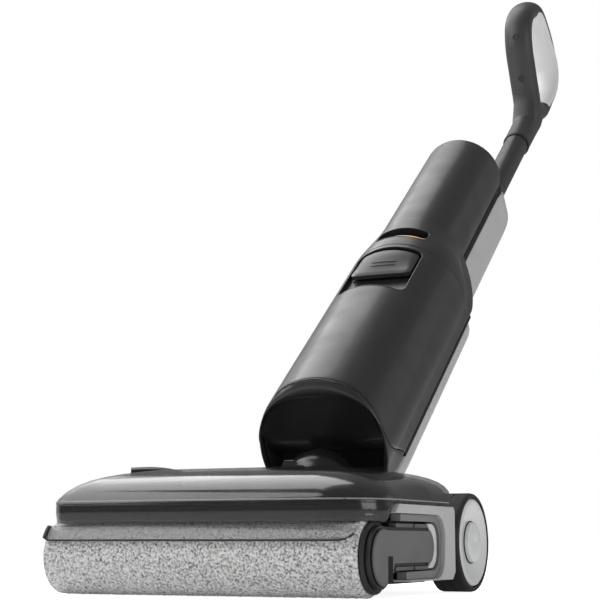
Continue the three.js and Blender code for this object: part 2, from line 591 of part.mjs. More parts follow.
function gripCurve() {
  const points = GRIP_LOOP.map(([up, depth]) => section(0, up, depth));
  return new THREE.CatmullRomCurve3(points, true, 'centripetal');
}

// An oval section carried round the loop; side 1 keeps only the half that faces the hole.
function gripSweep(from, to, steps, outline, loop) {
  const curve = gripCurve();
  const across = new THREE.Vector3(1, 0, 0);
  const count = loop ? steps : steps + 1;
  const rings = Array.from({ length: count }, (_, i) => {
    const k = (from + ((to - from) * i) / steps) % 1;
    const point = curve.getPointAt(k);
    const along = curve.getTangentAt(k);
    const inward = new THREE.Vector3().crossVectors(across, along).normalize();
    return outline.map(([a, b]) =>
      point.clone().addScaledVector(across, a).addScaledVector(inward, b));
  });
  return loft(rings, loop);
}

function ovalOutline(halfX, halfThick, from, to, steps) {
  return Array.from({ length: steps + 1 }, (_, i) => {
    const a = THREE.MathUtils.degToRad(from + ((to - from) * i) / steps);
    return [halfX * Math.cos(a), halfThick * Math.sin(a)];
  });
}

function addPoleAndGrip() {
  const { r, depth, bottom, top } = POLE;
  place(body, 'pole', turnedZ(ring(r, r - 1.8, bottom, top + 22), 0, -depth), 'charcoal');
  const { halfX, halfThick } = GRIP;
  const whole = gripSweep(0, 1, 32, ovalOutline(halfX, halfThick, 0, 324, 9), true);
  const heel = [[top - 7.7, 0], [top - 7.7, r + 1.6], [top + 34, r + 2.2], [top + 66, 18],
    [top + 82, 16.5], [top + 98, 12], [top + 106, 8], [top + 106, 0]];
  const socket = turnedZ(rod(r + GAP, top - 20, top + 22 + GAP), 0, -depth);
  const lining = ovalOutline(halfX + 1, halfThick + 1, 4, 176, 6);
  const cutter = gripSweep(0.985, 1.585, 20, lining, false);
  const stem = turnedZ(heel, 0, -depth);
  const web = webSolid();
  let shell = whole.add(stem).add(web).subtract(cutter).subtract(socket);
  const room = BUTTON.length + BUTTON.travel + GAP;
  BUTTONS.forEach(([, k]) => { shell = shell.subtract(buttonSolid(k, BUTTON.r + GAP, room)); });
  place(body, 'grip_shell', shell, 'charcoal');
  const inner = ovalOutline(halfX - 0.4, halfThick, 4, 176, 6).map(([a, b]) => [a, b + GAP]);
  place(body, 'grip_lining', gripSweep(0.988, 1.582, 20, inner, false), 'lightGrey');
  BUTTONS.forEach(([name, k]) => place(body, name, buttonSolid(k, BUTTON.r, BUTTON.length), 'black'));
}

const BUTTONS = [['power_button', 0.7], ['mode_button', 0.825]]; // places round the loop

// The web that fills the corner between the pole's socket and the loop's lower bar.
function webSolid() {
  const half = 14;
  const outline = [[862, -12], [882, -2], [899, 14], [910, 28], [914, 12], [918, -12], [900, -20]];
  const shape = new THREE.Shape(outline.map(([up, depth]) => new THREE.Vector2(-depth, up)));
  const extruded = new THREE.ExtrudeGeometry(shape, { depth: 2 * half, bevelEnabled: false });
  const turn = new THREE.Matrix4().makeBasis(
    new THREE.Vector3(0, 1, 0), new THREE.Vector3(0, 0, 1), new THREE.Vector3(1, 0, 0));
  return solid(extruded.applyMatrix4(turn).translate(-half, 0, 0));
}

// A round button on the outer face of the loop, standing a little proud of it.
function buttonSolid(k, r, length) {
  const curve = gripCurve();
  const outward = new THREE.Vector3(1, 0, 0).cross(curve.getTangentAt(k)).normalize().negate();
  const centre = curve.getPointAt(k).addScaledVector(outward, GRIP.halfThick + BUTTON.proud - length / 2);
  const turn = new THREE.Quaternion().setFromUnitVectors(new THREE.Vector3(0, 1, 0), outward);
  const cylinder = new THREE.CylinderGeometry(r, r, length, SMALL);
  return solid(cylinder.applyQuaternion(turn).translate(centre.x, centre.y, centre.z));
}

// ---------------------------------------------------------------- assembly

addRoller();
addDrive();
addArm();
addHood();
addCover();
addFrames();
addChassis();
addRearDeck();
addPivotLugs();
addWheels();
addNeck();
addShroud();
addTank();
addShoulder();
addMotorHousing();
addRearShells();
addSpine();
addPoleAndGrip();

// The origin is the middle of the machine's footprint, on the floor.
machine.updateMatrixWorld(true);
const box = new THREE.Box3().setFromObject(machine, true);
machine.position.set(-(box.min.x + box.max.x) / 2, -(box.min.y + box.max.y) / 2, -box.min.z);
machine.updateMatrixWorld(true);

export default machine;
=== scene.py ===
# The floor scrubber's visual model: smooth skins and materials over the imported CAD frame.
# Shapes are written in millimetres and turned into metres when a mesh is made.

import json
import math

import bmesh
import bpy
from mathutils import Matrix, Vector, noise


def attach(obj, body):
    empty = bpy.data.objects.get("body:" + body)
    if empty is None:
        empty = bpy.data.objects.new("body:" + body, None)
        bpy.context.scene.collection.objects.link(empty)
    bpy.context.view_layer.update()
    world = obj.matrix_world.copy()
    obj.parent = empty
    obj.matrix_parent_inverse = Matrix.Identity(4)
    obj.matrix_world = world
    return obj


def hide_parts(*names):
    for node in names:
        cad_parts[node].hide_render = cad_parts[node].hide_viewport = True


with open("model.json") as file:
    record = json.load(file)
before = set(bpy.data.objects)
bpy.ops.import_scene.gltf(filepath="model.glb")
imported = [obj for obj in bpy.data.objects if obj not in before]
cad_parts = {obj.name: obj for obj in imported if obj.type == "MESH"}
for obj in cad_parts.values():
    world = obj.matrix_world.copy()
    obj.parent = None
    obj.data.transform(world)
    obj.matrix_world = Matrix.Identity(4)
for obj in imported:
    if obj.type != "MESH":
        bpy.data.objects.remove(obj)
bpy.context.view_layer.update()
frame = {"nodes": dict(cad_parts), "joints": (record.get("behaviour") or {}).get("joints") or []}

# ---------------- frame of the head and the body

JOINTS = {j["name"]: j for j in frame["joints"]}
MM = 0.001

ROLLER_R = 30.2
ROLLER_Y = -108.4  # roller axis, in the head's own axes
ROLLER_Z = 30.2
ROLLER_LEFT = -145.0
ROLLER_RIGHT = 127.0
HEAD_ORIGIN = Vector((0, JOINTS["roller_spin"]["pos_m"][1] - ROLLER_Y * MM, 0))

SIDE = Vector((1, 0, 0))
UP = Vector(JOINTS["suction_fan_spin"]["axis"]).normalized()  # up the leaning body
OUT = Vector(JOINTS["tank_removal"]["axis"]).normalized()  # out of the body's front
FAN_AT = (440.0, 47.0)  # the fan axis point, as up and depth in the body's own axes
BODY_ORIGIN = Vector(JOINTS["suction_fan_spin"]["pos_m"]) - (UP * FAN_AT[0] + OUT * FAN_AT[1]) * MM


def in_head(x, y, z):
    return HEAD_ORIGIN + Vector((x, y, z)) * MM


def in_body(x, up, depth):
    return BODY_ORIGIN + (SIDE * x + UP * up + OUT * depth) * MM


# ---------------- driving sizes, millimetres

# Housing sections: the arc's radius, its centre's depth, the angle that it starts at,
# then the half width and the depth of the flat back's corners.
LOWER = (63.0, 30.0, -18.0, 58.5, -5.5)
UPPER_R, UPPER_DEPTH = 44.5, 47.0
LIGHT_FACE = -10.0  # depth of the lower light shell's front
MOUTH, SHROUD, VESSEL, TANK, SHOULDER, CYLINDER = 56.0, 88.4, 183.0, 338.0, 398.0, 597.0
POLE_R, POLE_DEPTH, POLE_BOTTOM, POLE_TOP = 15.2, -20.5, 592.0, 830.0
WHEEL_Y, WHEEL_R = 79.6, 41.4
ARM_Y, ARM_Z, ARM_R, DISC_R = -14.0, 38.0, 12.5, 21.1
ROUND_EDGE, SEAM_GAP = 1.0, 1.4
CAVITY_MIDDLE = Vector((0, 25))


# ---------------- materials


class Look:
    """A node material with a Principled shader and a few helpers to texture it."""

    def __init__(self, name, color, rough, metal=0.0, coat=0.0, alpha=1.0):
        self.material = bpy.data.materials.new(name)
        self.material.use_nodes = True
        self.tree = self.material.node_tree
        self.shader = self.tree.nodes["Principled BSDF"]
        self.set("Base Color", (*color, 1))
        self.set("Roughness", rough)
        self.set("Metallic", metal)
        self.set("Coat Weight", coat)
        self.set("Alpha", alpha)
        self.coords = self.tree.nodes.new("ShaderNodeTexCoord").outputs["Object"]
        self.bump_from = None

    def set(self, socket, value):
        self.shader.inputs[socket].default_value = value

    def node(self, kind, **inputs):
        made = self.tree.nodes.new(kind)
        for key, value in inputs.items():
            made.inputs[key.replace("_", " ")].default_value = value
        return made

    def link(self, a, b):
        self.tree.links.new(a, b)

    def noise(self, scale, detail=3.0, stretch=(1, 1, 1)):
        mapping = self.node("ShaderNodeMapping", Scale=stretch)
        self.link(self.coords, mapping.inputs["Vector"])
        tex = self.node("ShaderNodeTexNoise", Scale=scale, Detail=detail)
        self.link(mapping.outputs["Vector"], tex.inputs["Vector"])
        return tex.outputs["Fac"]

    def ramp(self, source, low, high, out_low, out_high):
        span = self.node("ShaderNodeMapRange", From_Min=low, From_Max=high, To_Min=out_low, To_Max=out_high)
        self.link(source, span.inputs["Value"])
        return span.outputs["Result"]

    def mix_color(self, factor, dark, light):
        mix = self.tree.nodes.new("ShaderNodeMix")
        mix.data_type = "RGBA"
        mix.inputs["A"].default_value = (*dark, 1)
        mix.inputs["B"].default_value = (*light, 1)
        self.link(factor, mix.inputs["Factor"])
        self.link(mix.outputs["Result"], self.shader.inputs["Base Color"])
        return self

    def vary_rough(self, source, low, high):
        self.link(self.ramp(source, 0.3, 0.7, low, high), self.shader.inputs["Roughness"])
        return self

    def bump(self, source, strength, distance):
        bump = self.node("ShaderNodeBump", Strength=strength, Distance=distance)
        self.link(source, bump.inputs["Height"])
        if self.bump_from is not None:
            self.link(self.bump_from, bump.inputs["Normal"])
        self.bump_from = bump.outputs["Normal"]
        self.link(self.bump_from, self.shader.inputs["Normal"])
        return self


def moulded(name, color, rough, grain=1600, depth=0.00006, coat=0.0, spread=0.06):
    """Moulded plastic: fine spark-eroded grain, a slow change of colour and of roughness."""
    look = Look(name, color, rough, coat=coat)
    slow = look.noise(9, 4)
    dark = tuple(c * 0.93 for c in color)
    light = tuple(min(1, c * 1.06) for c in color)
    look.mix_color(look.ramp(slow, 0.35, 0.65, 0, 1), dark, light)
    look.vary_rough(look.noise(34, 5), rough - spread, rough + spread)
    look.bump(look.noise(grain, 2), 0.55, depth)
    return look


def clear(name, color, alpha, rough=0.05):
    """Tinted clear plastic with faint flow lines from the mould."""
    look = Look(name, color, rough, alpha=alpha, coat=0.4)
    look.set("Coat Roughness", 0.08)
    look.set("IOR", 1.58)
    flow = look.noise(7, 2, (0.5, 2.0, 2.0))
    look.bump(flow, 0.05, 0.0006)
    look.vary_rough(look.noise(18, 2), rough * 0.85, rough * 1.25)
    look.mix_color(look.ramp(flow, 0.35, 0.7, 0, 1), tuple(c * 0.8 for c in color), color)
    return look


def rubber(name, color, rough=0.62):
    look = Look(name, color, rough)
    look.mix_color(look.noise(42, 5), tuple(c * 0.8 for c in color), tuple(c * 1.25 for c in color))
    look.vary_rough(look.noise(90, 4), rough - 0.08, rough + 0.1)
    look.bump(look.noise(1100, 3), 0.5, 0.0001)
    return look


def pile_look():
    look = Look("pile", (0.7, 0.7, 0.695), 0.95)
    look.set("Sheen Weight", 0.2)
    look.set("Sheen Roughness", 0.5)
    height = look.node("ShaderNodeAttribute")
    height.attribute_name = "tuft"
    fine = look.noise(1300, 4)
    add = look.node("ShaderNodeMath")
    add.operation = "MULTIPLY_ADD"
    look.link(fine, add.inputs[0])
    add.inputs[1].default_value = 0.65
    look.link(height.outputs["Fac"], add.inputs[2])
    # Painted shade, partly: the colour darkens where the tuft attribute is low, in the valleys between tufts,
    # over fine random dark specks.
    look.mix_color(look.ramp(add.outputs[0], 0.44, 1.0, 0, 1), (0.05, 0.05, 0.051), (0.84, 0.84, 0.835))
    look.bump(fine, 0.9, 0.0006)
    return look


def metal(name, color, rough):
    look = Look(name, color, rough, metal=1.0)
    look.vary_rough(look.noise(400, 3, (0.05, 1, 1)), rough - 0.07, rough + 0.12)
    look.bump(look.noise(900, 2, (0.04, 1, 1)), 0.3, 0.00004)
    return look


LOOKS = {
    "body": moulded("satin_charcoal", (0.018, 0.0182, 0.0187), 0.4, coat=0.08),
    "shroud": moulded("gloss_charcoal", (0.02, 0.02, 0.021), 0.34, coat=0.15, spread=0.04),
    "pole": moulded("pole_charcoal", (0.026, 0.026, 0.027), 0.38),
    "grip": moulded("soft_charcoal", (0.034, 0.034, 0.036), 0.46, grain=2200),
    "black": moulded("grained_black", (0.012, 0.012, 0.013), 0.5, grain=900, depth=0.00012),
    "pit": moulded("matte_black", (0.004, 0.004, 0.004), 0.85, grain=900),
    "light": moulded("light_grey", (0.5, 0.5, 0.505), 0.42, spread=0.04),
    "leaf": moulded("leaf_grey", (0.74, 0.74, 0.74), 0.5, spread=0.03),
    "band": moulded("band_grey", (0.2, 0.2, 0.203), 0.42),
    "arm": moulded("arm_grey", (0.12, 0.121, 0.124), 0.42),
    "pearl": moulded("pearl_grey", (0.7, 0.7, 0.7), 0.4, spread=0.03),
    "bell": moulded("bell_black", (0.009, 0.009, 0.0095), 0.26),
    "mid": moulded("mid_grey", (0.085, 0.086, 0.09), 0.4),
    "pad": moulded("pad_grey", (0.034, 0.0342, 0.035), 0.42),
    "hub": moulded("hub_silver", (0.68, 0.685, 0.69), 0.3, coat=0.3, spread=0.04),
    "smoke": clear("smoke_clear", (0.022, 0.0225, 0.0235), 0.68, 0.13),
    # crease: light clear plastic for the bead that paints a highlight along the cover's crease
    "crease": clear("crease_highlight_clear", (0.3, 0.302, 0.305), 0.85, 0.15),
    "strip": clear("strip_clear", (0.24, 0.242, 0.245), 0.34, 0.12),
    "pile": pile_look(),
    "tyre": rubber("tyre_rubber", (0.011, 0.011, 0.0115)),
    "seal": rubber("seal_rubber", (0.012, 0.012, 0.012), 0.5),
    "steel": metal("turned_steel", (0.55, 0.56, 0.58), 0.3),
    "copper": metal("copper_lip", (0.72, 0.45, 0.26), 0.34),
    "board": moulded("board_green", (0.02, 0.1, 0.045), 0.4),
    "filter": moulded("filter_cloth", (0.7, 0.68, 0.62), 0.9),
    "glass": clear("display_glass", (0.008, 0.008, 0.009), 1.0, 0.08),
    "mark": moulded("mark_grey", (0.008, 0.008, 0.008), 0.5),
}


# ---------------- mesh helpers


def raw(name, points, faces):
    """A mesh from points already in metres, with its faces turned outwards."""
    mesh = bpy.data.meshes.new(name)
    mesh.from_pydata([tuple(p) for p in points], [], faces)
    work = bmesh.new()
    work.from_mesh(mesh)
    bmesh.ops.recalc_face_normals(work, faces=work.faces)
    work.to_mesh(mesh)
    work.free()
    made = bpy.data.objects.new(name, mesh)
    bpy.context.scene.collection.objects.link(made)
    return made


def dress(made, look, body, replaces=(), angle=40):
    """Gives a mesh its look, its body and its place among the part's nodes."""
    made.data.materials.clear()
    made.data.materials.append(LOOKS[look].material)
    made.data.polygons.foreach_set("use_smooth", [True] * len(made.data.polygons))
    made.data.set_sharp_from_angle(angle=math.radians(angle))
    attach(made, body)
    if replaces:
        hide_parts(*replaces)
    return made


def skin(name, rings, look, body, replaces=(), angle=40, loop=False):
    """A piece whose surface runs over rings of points."""
    return dress(raw(name, *loft(rings, loop)), look, body, replaces, angle)


def loft(rings, loop=False):
    """Faces over rings of equal length. Rings are lists of points, closed on themselves."""
    count = len(rings[0])
    points = [p for ring in rings for p in ring]
    faces = []
    for i in range(len(rings) if loop else len(rings) - 1):
        low = i * count
        high = ((i + 1) % len(rings)) * count
        for j in range(count):
            k = (j + 1) % count
            faces.append((low + j, low + k, high + k, high + j))
    if not loop:
        faces.append(tuple(range(count)))
        faces.append(tuple(range((len(rings) - 1) * count, len(rings) * count)))
    return points, faces


def rounded(outline, radius, steps=4, keep=()):
    """A closed outline with its corners rounded; indices in keep stay sharp."""
    out = []
    n = len(outline)
    for i, p in enumerate(outline):
        p = Vector(p)
        if i in keep:
            out.append(p)
            continue
        a = Vector(outline[i - 1]) - p
        b = Vector(outline[(i + 1) % n]) - p
        reach = min(radius, a.length * 0.45, b.length * 0.45)
        start = p + a.normalized() * reach
        end = p + b.normalized() * reach
        for k in range(steps + 1):
            f = k / steps
            out.append(start * (1 - f) ** 2 + p * (2 * f * (1 - f)) + end * f**2)
    return out


def arc(cy, cz, r, start, end, steps):
    """Points round a centre, from one angle to another in degrees."""
    turns = [math.radians(start + (end - start) * i / steps) for i in range(steps + 1)]
    return [(cy + r * math.cos(a), cz + r * math.sin(a)) for a in turns]


def rectangle(x0, x1, y0, y1, radius, steps=4):
    """A rectangle's outline with rounded corners."""
    return rounded([(x0, y0, 0), (x1, y0, 0), (x1, y1, 0), (x0, y1, 0)], radius, steps)


def plate(name, outline, x0, x1, look, bevel, replaces=()):
    """A flat outline of (y, z) in the head's axes, made thick along X, with rounded edges."""
    rings = [[in_head(x, y, z) for y, z in outline] for x in (x0, x1)]
    soften(skin(name, rings, look, "head", replaces), bevel)


def soften(made, width, segments=3, angle=35):
    bevel = made.modifiers.new("edges", "BEVEL")
    bevel.width = width * MM
    bevel.segments = segments
    bevel.limit_method = "ANGLE"
    bevel.angle_limit = math.radians(angle)
    bevel.harden_normals = True
    bevel.miter_outer = "MITER_ARC"
    return made


def lathe(profile, place, facets):
    """Rings for a profile of (height, radius) pairs, turned about an axis given by place."""
    turns = [2 * math.pi * j / facets for j in range(facets)]
    return [[place(h, r * math.cos(a), r * math.sin(a)) for a in turns] for h, r in profile]


def about_x(y, z, sign=1):
    return lambda h, a, b: in_head(sign * h, y + a, z + b)


def about_up(depth):
    return lambda h, a, b: in_body(a, h, depth + b)


def fillet(profile, radius):
    """A profile of (height, radius) pairs with its inner corners rounded."""
    return [(p.x, p.y) for p in rounded([(h, r, 0) for h, r in profile], radius, 3, (0, len(profile) - 1))]


def turned(name, profile, place, look, body, facets, radius, replaces=()):
    return skin(name, lathe(fillet(profile, radius), place, facets), look, body, replaces)


def tube(name, profile, place, look, body, facets, replaces=(), angle=40):
    """A turned piece that is open along its axis."""
    return skin(name, lathe(profile, place, facets), look, body, replaces, angle, loop=True)


def bake(made):
    """Applies the piece's modifiers to its mesh."""
    graph = bpy.context.evaluated_depsgraph_get()
    graph.update()
    mesh = bpy.data.meshes.new_from_object(made.evaluated_get(graph))
    made.modifiers.clear()
    made.data = mesh


def combine(made, tool, operation="DIFFERENCE"):
    """Cuts a piece with another mesh, or joins or trims it, for good."""
    step = made.modifiers.new("combine", "BOOLEAN")
    step.operation = operation
    step.solver = "EXACT"
    step.object = tool
    bake(made)
    bpy.data.objects.remove(tool)


def bore(made, up0, up1, radius, depth, facets):
    """Clears a round bore along the body."""
    combine(made, raw("bore", *loft(lathe([(up0, radius), (up1, radius)], about_up(depth), facets))))


def bead(name, route, radius, look, body, closed=False, sides=8):
    """A round bead along a route of points in metres."""
    count = len(route)
    rings = []
    for i, p in enumerate(route):
        before = route[i - 1] if closed or i else p
        after = route[(i + 1) % count] if closed or i < count - 1 else p
        along = (after - before).normalized()
        across = along.cross(SIDE if abs(along.dot(SIDE)) < 0.9 else UP).normalized()
        other = along.cross(across)
        turns = [2 * math.pi * j / sides for j in range(sides)]
        rings.append([p + (across * math.cos(a) + other * math.sin(a)) * radius * MM for a in turns])
    return skin(name, rings, look, body, (), 60, closed)


def spread(start, end, count):
    return [start + (end - start) * i / (count - 1) for i in range(count)]


def smoothstep(k):
    k = max(0.0, min(1.0, k))
    return k * k * (3 - 2 * k)


# ---------------- main body housings


def section(shape, inset=0.0):
    """The outline of a housing as (x, depth) pairs: an arc, straight sides and a flat back."""
    r, depth, start, half, back = shape
    front = arc(0, depth, r - inset, start, 180 - start, 88)
    half -= inset
    back += inset
    corner = Vector((half, back))
    side = corner.lerp(Vector(front[0]), 0.22)
    flat = Vector((half - 2.2, back))
    right = [flat * (1 - f) ** 2 + corner * (2 * f * (1 - f)) + side * f**2 for f in spread(0, 1, 8)]
    left = [(-p.x, p.y) for p in reversed(right)]
    return [tuple(p) for p in right] + front + left


def wall_ring(level, inset=0.0, shape=LOWER):
    """A housing's section with its own height at each depth."""
    return [in_body(x, level(t), t) for x, t in section(shape, inset)]


def rolled_edge(radius, count=5):
    """A rounded rim as (lift, inset) pairs."""
    return [(radius * (1 - math.cos(a)), radius * (1 - math.sin(a))) for a in spread(0, math.pi / 2, count)]


# The neck's cavity: its half width, middle depth, reach to the front, roundness,
# then the half width and the depth at its back.
CAVITY = (59.5, 27.0, 48.5, 3.1, 55.0, -2.0)


def in_cavity(x, t):
    half, middle, reach, power, rear_half, back = CAVITY
    if t >= middle:
        return (abs(x) / half) ** power + ((t - middle) / reach) ** power <= 1
    return t >= back and abs(x) <= half - (half - rear_half) * (middle - t) / (middle - back)


def cavity_edge(x, t):
    """The cavity's wall on the line from its middle to an outer point."""
    low, high = 0.0, 1.0
    for _ in range(24):
        half = (low + high) / 2
        if in_cavity(*CAVITY_MIDDLE.lerp(Vector((x, t)), half)):
            low = half
        else:
            high = half
    return CAVITY_MIDDLE.lerp(Vector((x, t)), low)


# The low seam between shroud and tank, as (depth, up).
SEAM = [(-5.5, 106.0), (0, 104.0), (5, 99.0), (9, 93.0), (14, 86.0), (20, 79.0), (28, 73.0), (37, 70.5),
        (46, 71.5), (55, 75.5), (64, 80.0), (72, 83.5), (82, 86.0), (93.5, 86.6)]


def seam_level(t):
    """A smooth curve through the seam's points: level in front, dipping at the sides, high at the back."""
    t = max(SEAM[0][0], min(SEAM[-1][0], t))
    i = max(k for k in range(len(SEAM) - 1) if SEAM[k][0] <= t)
    near = [SEAM[max(0, min(len(SEAM) - 1, i + k))] for k in (-1, 0, 1, 2)]
    (x0, y0), (x1, y1), (x2, y2), (x3, y3) = near
    f = (t - x1) / (x2 - x1)
    slope_in = (y2 - y0) / (x2 - x0) * (x2 - x1)
    slope_out = (y3 - y1) / (x3 - x1) * (x2 - x1)
    return ((2 * f**3 - 3 * f**2 + 1) * y1 + (f**3 - 2 * f**2 + f) * slope_in
            + (3 * f**2 - 2 * f**3) * y2 + (f**3 - f**2) * slope_out)


def rim_level(t):
    """The rim of the open bottom end, which rises towards the front."""
    return MOUTH + t * 26 / 90


def drawn_in(x, up):
    """The shroud keeps its width down to 62 and narrows below."""
    return x * (1 - 0.085 * max(0.0, min(1.0, (62 - up) / 14)) ** 1.6)


def add_shroud():
    """The open bottom end: a broad rolled lip round a wide cavity for the neck."""
    outline = [Vector(p) for p in section(LOWER)]
    edges = [cavity_edge(p.x, p.y) for p in outline]
    roll = [(1.0, 7.0), (0.985, 4.2), (0.95, 2.3), (0.87, 1.0), (0.74, 0.3), (0.58, 0.0), (0.42, 0.15),
            (0.27, 0.9), (0.14, 2.2), (0.05, 4.2), (0.0, 7.0)]

    def lip_level(p, edge, depth, lift):
        thick = min(1.0, 0.35 + (edge - p).length / 14)
        return min(rim_level(depth) + lift * thick, seam_level(p.y) - SEAM_GAP)

    def lip_ring(f, lift):
        out = []
        for p, edge in zip(outline, edges):
            at = p.lerp(edge, f)
            up = lip_level(p, edge, at.y, lift)
            out.append(in_body(drawn_in(at.x, up), up, at.y))
        return out

    def side_ring(f):
        out = []
        for p, edge in zip(outline, edges):
            up = lip_level(p, edge, p.y, 7)
            out.append(in_body(drawn_in(p.x, up), up + (seam_level(p.y) - SEAM_GAP - up) * f, p.y))
        return out

    top = SHROUD - 2.4
    rings = [[in_body(p.x, top, p.y) for p in edges]]
    rings += [lip_ring(f, lift) for f, lift in roll]
    rings += [side_ring(f) for f in spread(0.2, 0.8, 5)]
    rings += [wall_ring(lambda t, lift=lift: seam_level(t) - 1.0 - lift, inset)
              for lift, inset in reversed(rolled_edge(ROUND_EDGE, 4))]
    skin("shroud_skin", rings, "shroud", "main_body", ("bottom_shroud",), 50)
    cup = []
    for k, lift in ((0.965, 20), (0.965, 4.6), (0.985, 4.2), (0.994, 5.0), (0.994, 22)):
        flat = [CAVITY_MIDDLE.lerp(e, k) for e in edges]
        cup.append([in_body(drawn_in(p.x, rim_level(p.y)), min(rim_level(p.y) + lift * 1.2, top - 0.2), p.y)
                    for p in flat])
    skin("cavity_lining", cup, "pole", "main_body", (), 50)


def front_box(x0, x1, up0, up1, depth, corner):
    """A rounded box that reaches in from the front, used to cut recesses."""
    front = LOWER[0] + LOWER[1]
    outline = rectangle(x0, x1, up0, up1, corner, 6)
    return raw("box", *loft([[in_body(p.x, p.y, t) for p in outline] for t in (front - depth, front + 30)]))


def face_depth(x, shape=LOWER, lift=0.0):
    """Depth of a housing's front skin at a place across it."""
    return shape[1] + math.sqrt((shape[0] + lift) ** 2 - x * x)


def add_rim(name, box, corner, depth, radius, body):
    """A bead round a recess's mouth; depth says how far out the skin is."""
    outline = rectangle(*box, corner, 8)
    route = []
    for p, q in zip(outline, outline[1:] + outline[:1]):
        steps = max(1, int((q - p).length / 2))
        route += [p + (q - p) * k / steps for k in range(steps)]
    bead(name, [in_body(p.x, p.y, depth(p)) for p in route], radius, "shroud", body, True)


RECESS = (-37.0, 34.8, 253.0, 332.0)
PAD = (-33.0, 31.2, 290.5, 328.8)


def add_tank():
    roll = rolled_edge(0.9)
    rings = [wall_ring(lambda t, up=up: seam_level(t) + up, inset) for up, inset in roll]
    rings += [wall_ring(lambda t, f=f: seam_level(t) + (VESSEL - seam_level(t)) * f)
              for f in spread(0.06, 1, 14)]
    rings += [wall_ring(lambda t, up=up: up) for up in spread(VESSEL + 5, TANK - 3, 30)]
    rings += [wall_ring(lambda t, up=up: TANK - 0.3 - up, inset) for up, inset in reversed(roll)]
    shell = raw("tank_skin", *loft(rings))
    combine(shell, front_box(*RECESS, 17, 9))
    dress(shell, "body", "tank", ("dirty_tank", "tank_top"), 35)
    add_rim("recess_rim", RECESS, 9, lambda p: face_depth(p.x, lift=-0.35), 0.75, "tank")
    add_pad()


def pad_depth(x, up):
    """The pad's face: round like the housing at the top, scooped flat at the lower edge."""
    v = (up - PAD[2]) / (PAD[3] - PAD[2])
    k = smoothstep(0.12 + v * 1.1)
    return 85.4 * (1 - k) + face_depth(x) * k - 0.2


def pad_fall(u, v, x, up):
    """How far the pad's face drops towards its corners, its lower edge and its sides."""
    _, x1, up0, up1 = PAD
    past_side = max(0, abs(x) - (x1 - 6))
    past_end = max(0, abs(up - (up0 + up1) / 2) - ((up1 - up0) / 2 - 6))
    fall = 1.2 * min(1.0, math.hypot(past_side, past_end) / 6) ** 4 + 1.4 * smoothstep(1 - (1 - v) * 9)
    return fall + 0.4 * smoothstep(1 - min(u, 1 - u) * 14)


def add_pad():
    """The release button: a domed pad that fills the recess's upper part, with a double bar."""
    x0, x1, up0, up1 = PAD
    inner_depth = 80.0
    rings = []
    for u in spread(0, 1, 33):
        x = x0 + (x1 - x0) * u
        face = []
        for v in spread(0, 1, 29):
            up = up0 + (up1 - up0) * v
            face.append(in_body(x, up, pad_depth(x, up) - pad_fall(u, v, x, up)))
        rings.append(face + [in_body(x, up, inner_depth) for up in spread(up1, up0, 29)])
    pad = raw("release_pad", *loft(rings))
    keep = [[in_body(p.x, p.y, t) for p in rectangle(*PAD, 6, 8)] for t in (40, 130)]
    combine(pad, raw("keep", *loft(keep)), "INTERSECT")
    soften(dress(pad, "pad", "tank_release", ("tank_button",)), 0.5, 2, 50)
    # Painted shadow: a matte black block under the pad's lower edge stands for the shade beneath the pad.
    under = [[in_body(x, up, t) for up, t in ((up0 - 4, 70), (up0 + 6, 70), (up0 + 6, 76.8), (up0 + 1, 76.8))]
             for x in spread(x0 + 1.5, x1 - 1.5, 8)]
    skin("pad_shadow_wall", under, "pit", "tank")
    for k, up in enumerate((302.5, 307.0)):
        bar(f"pad_bar_{k}", up, 13.5, 1.1)


def bar(name, up, half, thick):
    """A short raised bar that follows the pad's curve."""
    rings = []
    for x in spread(-half, half, 25):
        taper = math.sqrt(max(0.02, 1 - (abs(x) / half) ** 8))
        out = pad_depth(x, up)
        rings.append([in_body(x, up + thick * taper * side, out + raised)
                      for side, raised in ((-1, -0.9), (-1, 0.3), (0, 0.5 * taper), (1, 0.3), (1, -0.9))])
    skin(name, rings, "mark", "tank_release")


VENT = (-25.0, 30.0, 355.0, 374.5)


def shoulder_shape(up):
    """The shoulder's section, from the tank's to a round one that hugs the motor housing."""
    k = max(0.0, min(1.0, (up - TANK) / (SHOULDER - TANK)))
    soft = smoothstep(k)
    late = max(0.0, (k - 0.25) / 0.75)
    return (63.0 - 18.1 * soft, 30 + 17 * soft, -18 + 8 * k, 58.5 + smoothstep(k * 4) - 15.5 * late**1.7,
            -5.5 + 31.5 * late**1.3)


def shoulder_ring(up, lift=0.0, inset=0.0):
    """One section of the shoulder, lifted towards the back."""
    rise = 0.32 * (up - TANK) / (SHOULDER - TANK)
    return wall_ring(lambda t: up + lift + rise * max(0.0, 85 - t), inset, shoulder_shape(up))


